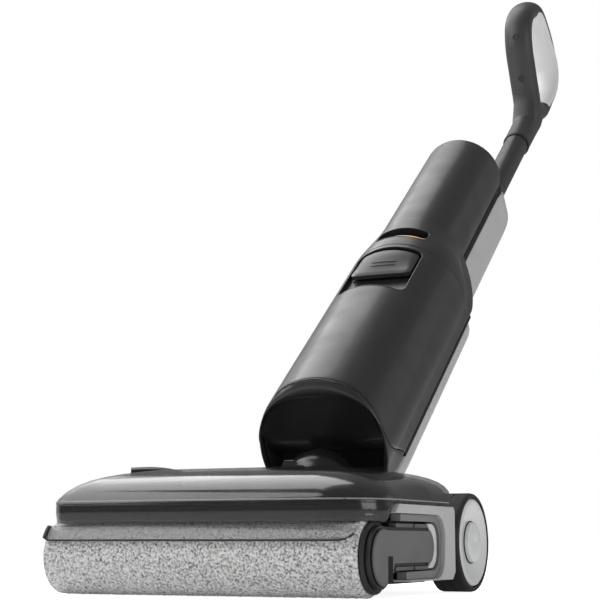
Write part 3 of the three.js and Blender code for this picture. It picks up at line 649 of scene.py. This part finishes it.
def add_shoulder():
    top = SHOULDER - 0.3
    roll = rolled_edge(0.6)
    rings = [shoulder_ring(TANK, lift, inset) for lift, inset in roll]
    rings += [shoulder_ring(up) for up in spread(TANK, top, 30)[1:-1]]
    rings += [shoulder_ring(top, -lift, inset) for lift, inset in reversed(roll)]
    shell = raw("shoulder_skin", *loft(rings))
    combine(shell, front_box(*VENT, 26, 6))
    dress(shell, "body", "main_body", ("shoulder_housing",), 35)
    x0, x1, up0, up1 = VENT
    lip = []
    for x in spread(x0 + 0.6, x1 - 0.6, 40):
        out = face_depth(x, shoulder_shape(up0))
        end = min(1.0, (x - x0) / 6, (x1 - x) / 6)
        low = up0 + 5.6 * (1 - math.sqrt(max(0, 1 - (1 - end) ** 2)))
        lip.append([in_body(x, low + lift, out - deep)
                    for lift, deep in ((-0.5, 2.4), (6.6, 2.6), (7.4, 3.4), (-0.5, 8.0))])
    skin("vent_lip", lip, "copper", "main_body", (), 30)
    pit = [(x, face_depth(x, shoulder_shape(up1)) - 15) for x in spread(x0 - 2, x1 + 2, 24)]
    corners = ((up0 - 4, 0), (up1 + 4, 0), (up1 + 4, -1.5), (up0 - 4, -1.5))
    pit = [[in_body(x, up, t + back) for up, back in corners] for x, t in pit]
    skin("vent_pit", pit, "pit", "main_body", (), 30)
    add_rim("vent_rim", VENT, 6, lambda p: face_depth(p.x, shoulder_shape(p.y)) - 0.25, 0.7, "main_body")


def add_motor_housing():
    edge = 4.0
    place = about_up(UPPER_DEPTH)
    profile = [(SHOULDER, UPPER_R - 3), (SHOULDER, UPPER_R)]
    profile += [(up, UPPER_R) for up in spread(SHOULDER + 8, CYLINDER - edge - 4, 24)]
    profile += [(CYLINDER - edge + edge * math.sin(a), UPPER_R - edge * (1 - math.cos(a)) * 0.75)
                for a in spread(0, math.pi / 2, 8)]
    profile += [(CYLINDER - 0.3, UPPER_R - 5.2), (CYLINDER - 5, UPPER_R - 5.6)]
    tube("motor_housing_skin", profile, place, "body", "main_body", 128, ("motor_housing",))
    cap = [(-8, 0.5), (-8, 38.5), (-2, 38.5), (-1.0, 37), (-1.0, 33.5), (-2.5, 33), (-2.5, 0.5)]
    turned("cap_ring", [(CYLINDER + h, r) for h, r in cap], place, "black", "main_body", 96, 0.5,
           ("top_cap",))
    glass = [(-2.4, 0.5), (-2.4, 32.4), (-1.3, 31.6), (-1.0, 0.5)]
    turned("display_glass", [(CYLINDER + h, r) for h, r in glass], place, "glass", "main_body", 96, 0.4)
    for k in range(28):
        a = 2 * math.pi * k / 28
        mark = [(24.0, -0.5), (28.0, -0.5), (28.0, 0.5), (24.0, 0.5)]
        at = [(p * math.cos(a) - q * math.sin(a), p * math.sin(a) + q * math.cos(a)) for p, q in mark]
        skin(f"display_mark_{k}", [[in_body(x, up, UPPER_DEPTH + t) for x, t in at]
                                   for up in (CYLINDER - 1.3, CYLINDER - 0.85)], "light", "main_body", (), 30)


# ---------------- rear shells


def rear_ring(up, half, front, deep, power=3.4):
    """A rear shell's section: flat front, straight sides and a softly crowned back."""
    edge = -13.0
    back = []
    for a in spread(0, math.pi, 60):
        c, s = math.cos(a), math.sin(a)
        x = half * math.copysign(abs(c) ** (2 / power), c)
        back.append((x, edge + (deep - edge) * abs(s) ** (2 / power)))
    sides = [(-half, front - 1.5), (-half + 1.5, front), (half - 1.5, front), (half, front - 1.5)]
    return [in_body(x, up, t) for x, t in back + sides]


def add_clean_tank():
    """The clean-water tank behind the body, and the dark gap between the two."""
    half, back, front = 57.6, -9.8, -5.9
    gap = [(-half, back), (half, back), (half, front), (-half, front)]
    skin("shell_gap", [[in_body(x, up, t) for x, t in gap] for up in (108, 356)], "pit", "main_body", (), 30)
    lower = [(66, 46, -23), (68, 50, -26), (72, 53, -29), (80, 55.6, -32), (94, 56.6, -34.4), (115, 57, -35)]
    lower += [(up, 57, -35) for up in spread(130, 336, 14)]
    lower += [(343, 56.8, -34.8), (349, 55.9, -34.2), (354, 54.2, -33.2), (358, 51.6, -31.8),
              (360.6, 48.5, -30), (361.7, 45.5, -28)]
    rings = [rear_ring(up, half, LIGHT_FACE, deep) for up, half, deep in lower]
    skin("clean_tank_skin", rings, "light", "water_tank", ("clean_tank",))


def add_rear_cover():
    """The light shell behind the motor housing, with a socket for the pole."""
    front = 19.0
    upper = [(362, 44, -28), (363, 45, -30), (370, 44.5, -33), (382, 42.6, -35), (392, 41, -35.4),
             (400, 40, -35.4)]
    rings = [rear_ring(up, half, LIGHT_FACE, deep, 3.0) for up, half, deep in upper]
    skin("rear_neck_skin", rings, "light", "main_body")
    tall = [(392, 40.2, front - 2, -35.2), (396, 40.2, front, -35.4)]
    tall += [(up, 40, front, -35.6) for up in spread(410, 580, 12)]
    tall += [(596, 39.6, front - 1.5, -35.2), (606, 38.6, front - 4.5, -34), (613, 37, front - 8, -31.8),
             (617, 34.6, front - 12, -28.6), (618, 32, front - 15, -26)]
    shell = raw("rear_cover_skin", *loft([rear_ring(*level) for level in tall]))
    bore(shell, 340, 700, UPPER_R + 1.6, UPPER_DEPTH, 120)
    bore(shell, 584, 700, POLE_R + 0.5, POLE_DEPTH, 64)
    dress(shell, "light", "main_body", ("rear_cover",), 35)
    outline = rectangle(-39.4, 39.4, 12, 25.5, 1.0, 3)
    gasket = raw("rear_gasket", *loft([[in_body(p.x, up, p.y) for p in outline] for up in (402, 600)]))
    bore(gasket, 340, 700, UPPER_R + 0.5, UPPER_DEPTH, 120)
    dress(gasket, "pit", "main_body", (), 35)
    ring = [(612, POLE_R + 0.4), (612, POLE_R + 3.2), (619.5, POLE_R + 2.6), (620.5, POLE_R + 0.4)]
    tube("pole_socket_ring", ring, about_up(POLE_DEPTH), "black", "main_body", 64, (), 35)


# ---------------- pole and grip

GRIP_LOOP = [(930, -23), (968, -23), (1004, -19), (1024, -3), (1028, 24), (1023, 58), (1008, 91),
             (978, 103), (946, 99), (926, 76), (917, 42), (911, 12), (908, -6)]
GRIP_X, GRIP_T = 18.6, 13.0


def between(a, b, low, high, t):
    """The point on the line from a to b, as t goes from low to high."""
    return a * ((high - t) / (high - low)) + b * ((t - low) / (high - low))


def closed_spline(points, samples):
    """Points at even distances round a closed, centripetal Catmull-Rom curve, from its first point."""
    dense = []
    n = len(points)
    vectors = [Vector(p) for p in points]
    for i in range(n):
        p0, p1, p2, p3 = (vectors[(i + k - 1) % n] for k in range(4))
        t0 = 0.0
        t1 = t0 + math.sqrt((p1 - p0).length)
        t2 = t1 + math.sqrt((p2 - p1).length)
        t3 = t2 + math.sqrt((p3 - p2).length)
        for t in spread(t1, t2, 25)[:-1]:
            a1 = between(p0, p1, t0, t1, t)
            a2 = between(p1, p2, t1, t2, t)
            a3 = between(p2, p3, t2, t3, t)
            b1 = between(a1, a2, t0, t2, t)
            b2 = between(a2, a3, t1, t3, t)
            dense.append(between(b1, b2, t1, t2, t))
    lengths = [0.0]
    for a, b in zip(dense, dense[1:] + dense[:1]):
        lengths.append(lengths[-1] + (b - a).length)
    out = []
    j = 0
    for i in range(samples):
        want = lengths[-1] * i / samples
        while lengths[j + 1] < want:
            j += 1
        f = (want - lengths[j]) / (lengths[j + 1] - lengths[j])
        out.append(dense[j].lerp(dense[(j + 1) % len(dense)], f))
    return out


LOOP_SAMPLES = 240
LOOP = closed_spline(GRIP_LOOP, LOOP_SAMPLES)


def loop_frame(k):
    """Centre, tangent and inward normal, as (up, depth) pairs, at a fraction round the loop."""
    i = k * LOOP_SAMPLES
    low = int(math.floor(i)) % LOOP_SAMPLES
    high = (low + 1) % LOOP_SAMPLES
    centre = LOOP[low].lerp(LOOP[high], i - math.floor(i))
    along = (LOOP[high] - LOOP[low - 1]).normalized()
    inward = Vector((along.y, -along.x))
    middle = Vector((970, 40))
    if inward.dot(middle - centre) < 0:
        inward = -inward
    return centre, along, inward


def loop_point(k, across, inward_by):
    centre, _, inward = loop_frame(k)
    at = centre + inward * inward_by
    return in_body(across, at.x, at.y)


def grip_thickness(k):
    """The loop is a little thicker over its top."""
    return 1.0 + 0.08 * math.exp(-(((k - 0.36) / 0.13) ** 2))


def grip_body():
    """The loop, the stem's socket and the web between them, melted into one skin."""
    turns = [2 * math.pi * j / 36 for j in range(36)]
    rings = []
    for k in spread(0, 1, 161)[:-1]:
        deep = GRIP_T * grip_thickness(k)
        rings.append([loop_point(k, GRIP_X * math.cos(a), deep * math.sin(a)) for a in turns])
    whole = raw("grip_skin", *loft(rings, loop=True))
    stem = [(-7.2, 14.0), (-7.2, 16.9), (34, 17.3), (66, 18), (84, 16.5), (100, 11), (104, 5)]
    rings = lathe([(POLE_TOP + h, r) for h, r in stem], about_up(POLE_DEPTH), 48)
    combine(whole, raw("stem", *loft(rings)), "UNION")
    web = rounded([(858, -14, 0), (876, -3, 0), (896, 12, 0), (909, 32, 0), (916, 30, 0), (920, 0, 0),
                   (922, -16, 0), (900, -24, 0)], 5, 4)
    rings = []
    for x in spread(-15.5, 15.5, 9):
        shrink = 1 - 0.35 * (abs(x) / 15.5) ** 3
        rings.append([in_body(x, 900 + (p.x - 900) * shrink, p.y * shrink) for p in web])
    combine(whole, raw("web", *loft(rings)), "UNION")
    remesh = whole.modifiers.new("remesh", "REMESH")
    remesh.mode = "VOXEL"
    remesh.voxel_size = 0.0012
    smooth = whole.modifiers.new("smooth", "SMOOTH")
    smooth.factor = 0.5
    smooth.iterations = 22
    bake(whole)
    return whole


def add_grip():
    whole = grip_body()
    bore(whole, POLE_TOP - 20, POLE_TOP + 22, POLE_R + 0.4, POLE_DEPTH, 64)
    dress(whole, "grip", "main_body", ("grip_shell",), 50)
    start, end = -0.014, 0.586
    rings = []
    for f in spread(0, 1, 151):
        k = (start + (end - start) * f) % 1
        width = GRIP_X * (1 - 0.7 * smoothstep(1 - min(f, 1 - f) * 8) ** 2) - 2.0
        wrap = 0.32 * smoothstep(f * 3.6 + 0.12) * (1 - smoothstep((f - 0.45) / 0.2)) - 0.26
        deep = GRIP_T * grip_thickness(k) + 0.5
        ring = [loop_point(k, (width + 2.5) * math.cos(a), deep * math.sin(a))
                for a in spread(-wrap, math.pi + wrap, 21)]
        ring += [loop_point(k, (width - 1.5) * math.cos(a), GRIP_T * math.sin(a) - 2.2)
                 for a in spread(math.pi - 0.3, 0.3, 7)]
        rings.append(ring)
    skin("grip_leaf", rings, "leaf", "main_body", ("grip_lining",), 45)
    add_key("power", 0.7)
    add_key("mode", 0.825)


def add_key(name, k):
    """A round key on the loop's outer face: a dished cap with a rolled edge."""
    centre, along, inward = loop_frame(k)

    def place(h, a, b):
        at = centre - inward * h + along * a
        return in_body(b, at.x, at.y)

    face = GRIP_T + 0.6
    profile = [(-5, 0.3), (-5, 4.3), (-0.6, 4.3), (0, 3.7), (-0.1, 2.6), (-0.35, 0.3)]
    turned(f"{name}_key_cap", [(face + h, r) for h, r in profile], place, "black", f"{name}_key", 40, 0.35,
           (f"{name}_button",))


def add_pole():
    wall = [(POLE_BOTTOM, POLE_R - 1.8), (POLE_BOTTOM, POLE_R), (POLE_TOP + 22, POLE_R),
            (POLE_TOP + 22, POLE_R - 1.8)]
    tube("pole_skin", wall, about_up(POLE_DEPTH), "pole", "main_body", 72, ("pole",))
    top = POLE_TOP - 7.6
    collar = [(-3.2, 0.2), (-3.2, 1.3), (-2.2, 2.0), (-0.8, 2.0), (0, 1.2), (0, 0.2)]
    tube("pole_collar", [(top + h, POLE_R + out) for h, out in collar], about_up(POLE_DEPTH), "seal",
         "main_body", 72, (), 50)


# ---------------- floor head


def tuft(x, angle):
    """Height of the pile, 0 to 1, at a place on the roller's skin."""
    at = Vector((x, ROLLER_R * math.cos(angle), ROLLER_R * math.sin(angle))) / 1.55
    near = noise.voronoi(at)[0]
    bulk = 1 - min(1.0, near[0] * 1.15)
    return max(0.0, min(1.0, 0.25 + 0.62 * bulk + 0.3 * noise.noise(at * 0.9)))


def add_roller():
    around = 260
    turns = [2 * math.pi * j / around for j in range(around)]
    place = about_x(ROLLER_Y, ROLLER_Z)
    rings = []
    heights = []
    for x in spread(ROLLER_LEFT, ROLLER_RIGHT, 421):
        drop = 1.6 * (1 - smoothstep(min(x - ROLLER_LEFT, ROLLER_RIGHT - x) / 2.5))
        row = [tuft(x, a) for a in turns]
        radii = [ROLLER_R - 1.3 + 1.6 * height - drop for height in row]
        rings.append([place(x, r * math.cos(a), r * math.sin(a)) for r, a in zip(radii, turns)])
        heights += row
    rings += lathe([(ROLLER_RIGHT, 24.3), (ROLLER_LEFT, 24.3)], place, around)
    heights += [0.2] * (2 * around)
    made = skin("pile_skin", rings, "pile", "roller", ("roller_pile",), 180, loop=True)
    layer = made.data.attributes.new("tuft", "FLOAT", "POINT")
    layer.data.foreach_set("value", heights)
    ring = [(127.6, 21.7), (127.6, 26.6), (128.4, 27.2), (130.2, 27.2), (130.9, 26.4), (130.9, 21.7)]
    tube("end_seal", ring, place, "seal", "roller", 96, ("roller_end_ring",), 50)


COVER_PROFILE = [  # height, and how far the front's and the rear's edges have drawn in
    (71.2, 0.0, 0.0), (72.6, 0.25, 0.1), (75.5, 1.4, 0.5), (79.5, 4.2, 1.5), (83.5, 8.0, 3.2),
    (87.5, 13.2, 6.8), (91.0, 19.6, 12.5), (94.0, 27.4, 20.5), (96.6, 37.0, 30.5), (98.7, 48.0, 42.5),
    (100.2, 58.0, 54.0), (101.0, 68.0, 66.0),
]
COVER_HALF, COVER_FRONT, COVER_REAR = 141.0, -134.6, 34.0
COVER_CORNER, COVER_LEFT, COVER_RIGHT = 22, 25, 15  # steps in a corner and along each side


def cover_ring(z, drawn, rear_drawn=None, inset=0.0, skirt=False):
    """One level of the cover; its sides reach the rear's width above the drive arm."""
    rear_drawn = drawn if rear_drawn is None else rear_drawn
    half = COVER_HALF - drawn - inset
    front = COVER_FRONT + drawn + inset
    rear = COVER_REAR - 0.2 - inset
    right_r = max(46 - (drawn + inset) * 0.35, 16)
    left_r = 12 + drawn * 0.1

    def side(start, count):
        return [(half + (drawn - rear_drawn) * smoothstep((y - start) / (4 - start)), y)
                for y in spread(start, rear, count)[1:]]

    right = side(front + right_r, COVER_RIGHT + 1)
    left = [(-x, y) for x, y in side(front + left_r, COVER_LEFT + 1)]
    room, room_front = 47.4 + inset, 13.6 - inset
    behind = [(x, rear) for x in spread(room, right[-1][0], 8)[:-1]]
    ring = arc(half - right_r, front + right_r, right_r, 360, 270, COVER_CORNER)
    ring += arc(-half + left_r, front + left_r, left_r, 270, 180, COVER_CORNER) + left
    ring += [(-x, y) for x, y in behind[::-1]] + [(x, room_front) for x in spread(-room, room, 18)]
    ring += behind + right[::-1]
    out = []
    for x, y in ring:
        start = -130 if x < -120 else -104
        out.append(in_head(x, y, z + (70.6 - z) * smoothstep((y - start) / 10) if skirt else z))
    return out


def add_cover():
    """The smoky shell, open below, with a notch for the neck in its rear edge."""
    skirt = ((56.2, 1.5), (57.0, 0.9), (64.0, 0.35), (70.4, 0.3))
    outer = [cover_ring(z, drawn, skirt=True) for z, drawn in skirt] + [cover_ring(70.9, 0.5)]
    outer += [cover_ring(*level) for level in COVER_PROFILE]
    wall = 2.4
    inner = [cover_ring(z - wall * 0.9, drawn, rear, wall) for z, drawn, rear in reversed(COVER_PROFILE)]
    inner += [cover_ring(56.2, 1.5, None, wall, skirt=True)]
    count = len(outer[0])
    points, faces = loft(outer + inner, loop=True)
    top = len(outer) - 1
    faces = [f for f in faces if f[0] // count != top]
    faces += [tuple(range(at * count, (at + 1) * count)) for at in (top, top + 1)]
    dress(raw("cover_skin", points, faces), "smoke", "cover", ("head_cover",), 32)
    add_cover_tab()
    add_cover_lines()


def add_cover_tab():
    """The dark tab on the cover's left."""
    rings = []
    for k in spread(0, 1, 24):
        x, y = -120 + 35 * k, -45 + 27 * k
        top = 104.4 + 1.0 * math.sin(math.pi * k) - 2.6 * k**3
        half = 2.6 + 2.4 * math.sin(math.pi * (0.25 + 0.6 * k))
        rings.append([in_head(x + half * 0.6 * c, y - half * c, z)
                      for c, z in ((1, 88), (1, top - 2.2), (0.6, top - 0.7), (0, top), (-0.6, top - 0.7),
                                   (-1, top - 2.2), (-1, 88))])
    skin("cover_tab", rings, "black", "cover")


def add_cover_lines():
    """A light bead along the cover's crease, which paints the highlight there, and the dark band inside its
    front.
    """
    ring = cover_ring(73.4, 0.7)
    front = 2 * (COVER_CORNER + 1) + COVER_LEFT
    route = [p for p in ring[-COVER_RIGHT:] + ring[:front] if p.y < in_head(0, 30, 0).y]
    # Painted highlight: a light grey bead along the crease stands for the lamp's reflection there.
    bead("cover_crease_highlight", route, 0.7, "crease", "cover")
    path = arc(96.5, -93.6, 38.5, 0, -90, 16) + [(x, -132.1) for x in spread(90, -126, 40)]
    path += arc(-129, -123.5, 8.6, -90, -180, 8)
    rings = []
    for x, y in path:
        inward = Vector((-x * 0.004, 1, 0)).normalized() * 0.0012
        low = in_head(x, y, 58.4 + 4.0 * smoothstep((y + 131.6) / 5))
        high = in_head(x, y, 70.8)
        rings.append([low, high, high + inward, low + inward])
    skin("cover_band", rings, "black", "cover", (), 50)


def add_strip():
    """The translucent strip over the roller's upper front, with a dark lower edge."""
    left, right = -144.4, 126.0

    def corner(gap, height):
        return height * (1 - math.sqrt(max(0.0, 1 - max(0.0, gap) ** 2)))

    def at(x, radius, degrees):
        a = math.radians(degrees)
        return in_head(x, ROLLER_Y + radius * math.cos(a), ROLLER_Z + radius * math.sin(a))

    def ends(x):
        return corner((x - right + 14) / 14, 15.0), corner((left + 9 - x) / 9, 8.0)

    rings = []
    for x in spread(left, right, 120):
        rise, fall = ends(x)
        turns = spread(157.0 - rise - fall, 134.0 + fall * 0.2, 8)
        rings.append([at(x, 34.2, a) for a in turns] + [at(x, 32.2, a) for a in turns[::-1]])
    skin("strip_skin", rings, "strip", "head", ("front_strip",))
    route = [at(x, 33.4, 157.4 - sum(ends(x))) for x in spread(left + 1, right - 1, 90)]
    bead("strip_edge", route, 0.9, "seal", "head")
    bead("strip_end", [at(left + 2.4, 33.2, a) for a in spread(136, 154, 7)], 2.4, "seal", "head", sides=14)


def add_frames():
    top, bottom, rear = 70.2, 11.5, 34.6
    back = [(rear - 3, top), (rear, top - 3), (rear, bottom + 6), (rear - 6, bottom)]
    opening = [(-10, 13)] + arc(-8, 31, 18, -90, 0, 10) + arc(-8, 44, 19, 0, 90, 10)
    outline = [(-98.5, 63.2), (-96, 65.5), (-90, top)] + back + [(-66, bottom), (-70, 13)] + opening
    plate("frame_right_skin", outline + [(-60, 63.2)], 128, 143, "light", 1.1, ("side_frame_right",))
    left = [(-76, 63.2), (-68, top)] + back + [(-64, bottom), (-68, 14)]
    plate("frame_left_skin", left, -143, -128, "light", 1.1, ("side_frame_left",))
    liner = [(-76, 13), (14, 13), (14, 63), (-76, 63)]
    plate("liner_skin", liner, 117, 127.6, "black", 0.8, ("side_liner_right",))
    band = [(-80, 63.0)] + arc(-8, 44, 18.9, 90, 0, 12) + arc(-8, 31, 17.9, 0, -90, 12) + [(-68, 13.1)]
    band += [(-68, 19.0)] + arc(-8, 34, 14.4, -90, 0, 12) + arc(-8, 43, 14.4, 0, 90, 12) + [(-80, 57.4)]
    plate("frame_band", band, 131.0, 139.5, "band", 0.6)
    crescent = arc(-8, 43, 13, 90, 0, 12) + arc(-8, 34, 13, 0, -90, 12)
    crescent += [(-16, 21)] + arc(-14, 38, 13.4, -72, 72, 20) + [(-16, 56)]
    plate("arm_crescent", crescent, 135.5, 137.4, "pearl", 0.4)
    for name, z in (("upper", 54.2), ("lower", 21.6)):
        rail = rectangle(-84, -14, z - 1.5, z + 1.5, 1.4)
        plate(f"arm_rail_{name}", [(p.x, p.y) for p in rail], 131.2, 137.0, "mid", 0.3)
        tick = [(-46, z - 1.5), (-44.8, z - 1.5), (-44.8, z + 1.5), (-46, z + 1.5)]
        plate(f"arm_tick_{name}", tick, 136.8, 137.5, "pit", 0.1)


def arm_outline(offset):
    """The drive disc's arc run into the arm's round end."""
    reach = DISC_R + offset
    half = ARM_R + offset
    top = math.degrees(math.asin((ARM_Z + half - ROLLER_Z) / reach))
    low = math.degrees(math.asin((ARM_Z - half - ROLLER_Z) / reach))
    return arc(ROLLER_Y, ROLLER_Z, reach, top, 360 + low, 60) + arc(ARM_Y, ARM_Z, half, -90, 90, 20)


def add_arm():
    """The drive arm's grey panel over its black housing, with a dark notch below the disc."""
    plate("arm_skin", arm_outline(0), 135.6, 137.6, "arm", 0.7, ("arm_panel",))
    plate("arm_back", arm_outline(2.6), 131.3, 135.2, "black", 0.8, ("arm_housing",))
    slot = rectangle(-101, -92.4, 31, 11.5, 1.0, 3)
    plate("arm_notch", [(p.x, p.y) for p in slot], 137.2, 138.0, "pit", 0.2)


def add_wheels():
    for side, sign in (("left", -1), ("right", 1)):
        body = f"wheel_{side}"
        place = about_x(WHEEL_Y, WHEEL_R, sign)
        tyre = [(115.2, 37.4), (115.2, 39.8), (115.8, 40.9), (117.4, 41.4)]
        for groove in (123.0, 131.0):
            tyre += [(groove - 0.9, 41.4), (groove - 0.6, 40.8), (groove + 0.6, 40.8), (groove + 0.9, 41.4)]
        tyre += [(140.4, 41.4), (142.6, 40.9), (143.7, 39.9), (144.0, 38.6), (143.8, 37.4)]
        tube(f"{body}_tyre_skin", tyre, place, "tyre", body, 128, (f"tyre_{side}",), 35)
        hub = [(119.0, 5.6), (119.0, 36.8), (142.0, 36.8), (143.4, 36.2), (144.0, 34.6), (143.6, 31.0),
               (142.4, 26.0), (141.2, 20.6), (140.6, 18.2), (140.8, 17.2), (144.0, 16.6), (144.7, 15.6),
               (145.0, 12.0), (145.0, 0.4), (136.5, 0.4), (136.5, 5.6)]
        tube(f"{body}_hub_skin", fillet(hub, 0.5), place, "hub", body, 128, (f"hub_{side}",), 32)
        # Painted shadow: a matte black bead round the centre cap stands for the shade in the hub's groove.
        groove = lathe([(141.0, 17.4)], place, 96)[0]
        bead(f"{body}_groove", groove, 0.6, "pit", body, True)


# ---------------- neck


def add_neck():
    """The neck barrel, turned across the machine, its stem and the catch on the cover before it."""
    up, depth = 43.5, 12.4

    def place(h, a, b):
        return in_body(h, up + a, depth + (b if b > 0 else b * 0.48))

    ball = [(h, 27.4 * math.sqrt(1 - (h / 32.0) ** 2)) for h in spread(-30, 30, 33)]
    rings = lathe([(-30, 6)] + ball + [(30, 6)], place, 80)
    skin("neck_skin", rings, "bell", "neck", ("neck_barrel",), 50)
    outline = arc(44, 13, 8, -76, 104, 16) + arc(12.9, 5, 9.5, 104, 284, 16)
    stem = [[in_body(x, along, out) for along, out in outline] for x in (-29, 29)]
    soften(skin("neck_stem", stem, "black", "neck"), 1.5)
    lug = [(-3, 99), (-1, 106), (1, 110.4), (10, 110.4), (11.5, 107), (17, 106), (19, 103), (19, 99)]
    catch = [[in_head(x, y, z) for x, z in lug] for y in (4.5, 10.5)]
    soften(skin("cover_catch", catch, "black", "cover"), 0.8)


# ---------------- carried-over CAD nodes

CARRIED = {
    "black": ("roller_hood", "head_chassis", "rear_deck", "swivel_disc", "spine_frame", "battery_pack",
              "water_pump", "roller_drive_hub", "suction_duct", "spray_bar", "suction_fan"),
    "body": ("pivot_lug_left", "pivot_lug_right", "riser_pipe", "filler_cap", "roller_end_cap"),
    "mid": ("roller_core",),
    "seal": ("drive_belt", "scraper_bar", "floor_squeegee"),
    "steel": ("motor_pulley", "roller_motor", "pivot_pin_left", "pivot_pin_right", "axle_left",
              "axle_right", "suction_motor"),
    "board": ("control_board",),
    "filter": ("tank_filter",),
    "light": ("tank_float",),
}


def finish_cad_nodes():
    for look, names in CARRIED.items():
        for name in names:
            made = frame["nodes"][name]
            made.data.materials.clear()
            made.data.materials.append(LOOKS[look].material)
            soften(made, 0.5, 2, 30)


# ---------------- stage


def add_stage():
    ground = raw("ground", [(-60, -60, 0), (60, -60, 0), (60, 60, 0), (-60, 60, 0)], [(0, 1, 2, 3)])
    pale = Look("pale_floor", (0.9, 0.9, 0.9), 0.7)
    pale.set("Emission Color", (1, 1, 1, 1))
    seen = pale.tree.nodes.new("ShaderNodeLightPath").outputs["Is Camera Ray"]
    pale.link(pale.ramp(seen, 0, 1, 0.12, 0.88), pale.shader.inputs["Emission Strength"])
    pale.bump(pale.noise(30, 3), 0.05, 0.0005)
    ground.data.materials.append(pale.material)
    ground.location.z = -0.0004
    world = bpy.data.worlds.new("studio")
    world.use_nodes = True
    bpy.context.scene.world = world
    tree = world.node_tree
    path = tree.nodes.new("ShaderNodeLightPath")
    mix = tree.nodes.new("ShaderNodeMixShader")
    tree.links.new(path.outputs["Is Camera Ray"], mix.inputs["Fac"])
    backdrops = (tree.nodes["Background"], tree.nodes.new("ShaderNodeBackground"))
    for backdrop, strength, socket in zip(backdrops, (0.25, 1.0), (1, 2)):
        backdrop.inputs["Color"].default_value = (1, 1, 1, 1)
        backdrop.inputs["Strength"].default_value = strength
        tree.links.new(backdrop.outputs["Background"], mix.inputs[socket])
    tree.links.new(mix.outputs["Shader"], tree.nodes["World Output"].inputs["Surface"])
    bpy.context.scene.view_settings.view_transform = "Standard"
    middle = Vector((0, 0, 0.3))
    for name, at, size, power in (
        ("key", (-1.6, -1.3, 1.7), 1.8, 34),
        ("fill", (2.6, -1.0, 0.9), 1.4, 16),
        ("rim", (2.0, 1.5, 1.2), 1.6, 3),
        ("back_left", (-2.0, 1.0, 1.6), 1.6, 8),
        ("top", (-1.1, 0.45, 2.25), 1.9, 36),
    ):
        light = bpy.data.lights.new(name, "AREA")
        light.energy = power
        light.size = size
        lamp = bpy.data.objects.new(name, light)
        lamp.location = at
        lamp.rotation_euler = (middle - Vector(at)).to_track_quat("-Z", "Y").to_euler()
        bpy.context.scene.collection.objects.link(lamp)


def add_camera():
    data = bpy.data.cameras.new("photo_view")
    data.lens = 92.0
    data.sensor_width = 36.0
    camera = bpy.data.objects.new("photo_view", data)
    camera.location = HEAD_ORIGIN + Vector((0.5652, -1.1769, 0.0414))
    camera.rotation_euler = (math.radians(90 + 8.98), 0, math.radians(24.93))
    bpy.context.scene.collection.objects.link(camera)
    bpy.context.scene.camera = camera


add_camera()
add_stage()
add_shroud()
add_tank()
add_shoulder()
add_motor_housing()
add_clean_tank()
add_rear_cover()
add_pole()
add_grip()
add_roller()
add_cover()
add_strip()
add_frames()
add_arm()
add_wheels()
add_neck()
finish_cad_nodes()
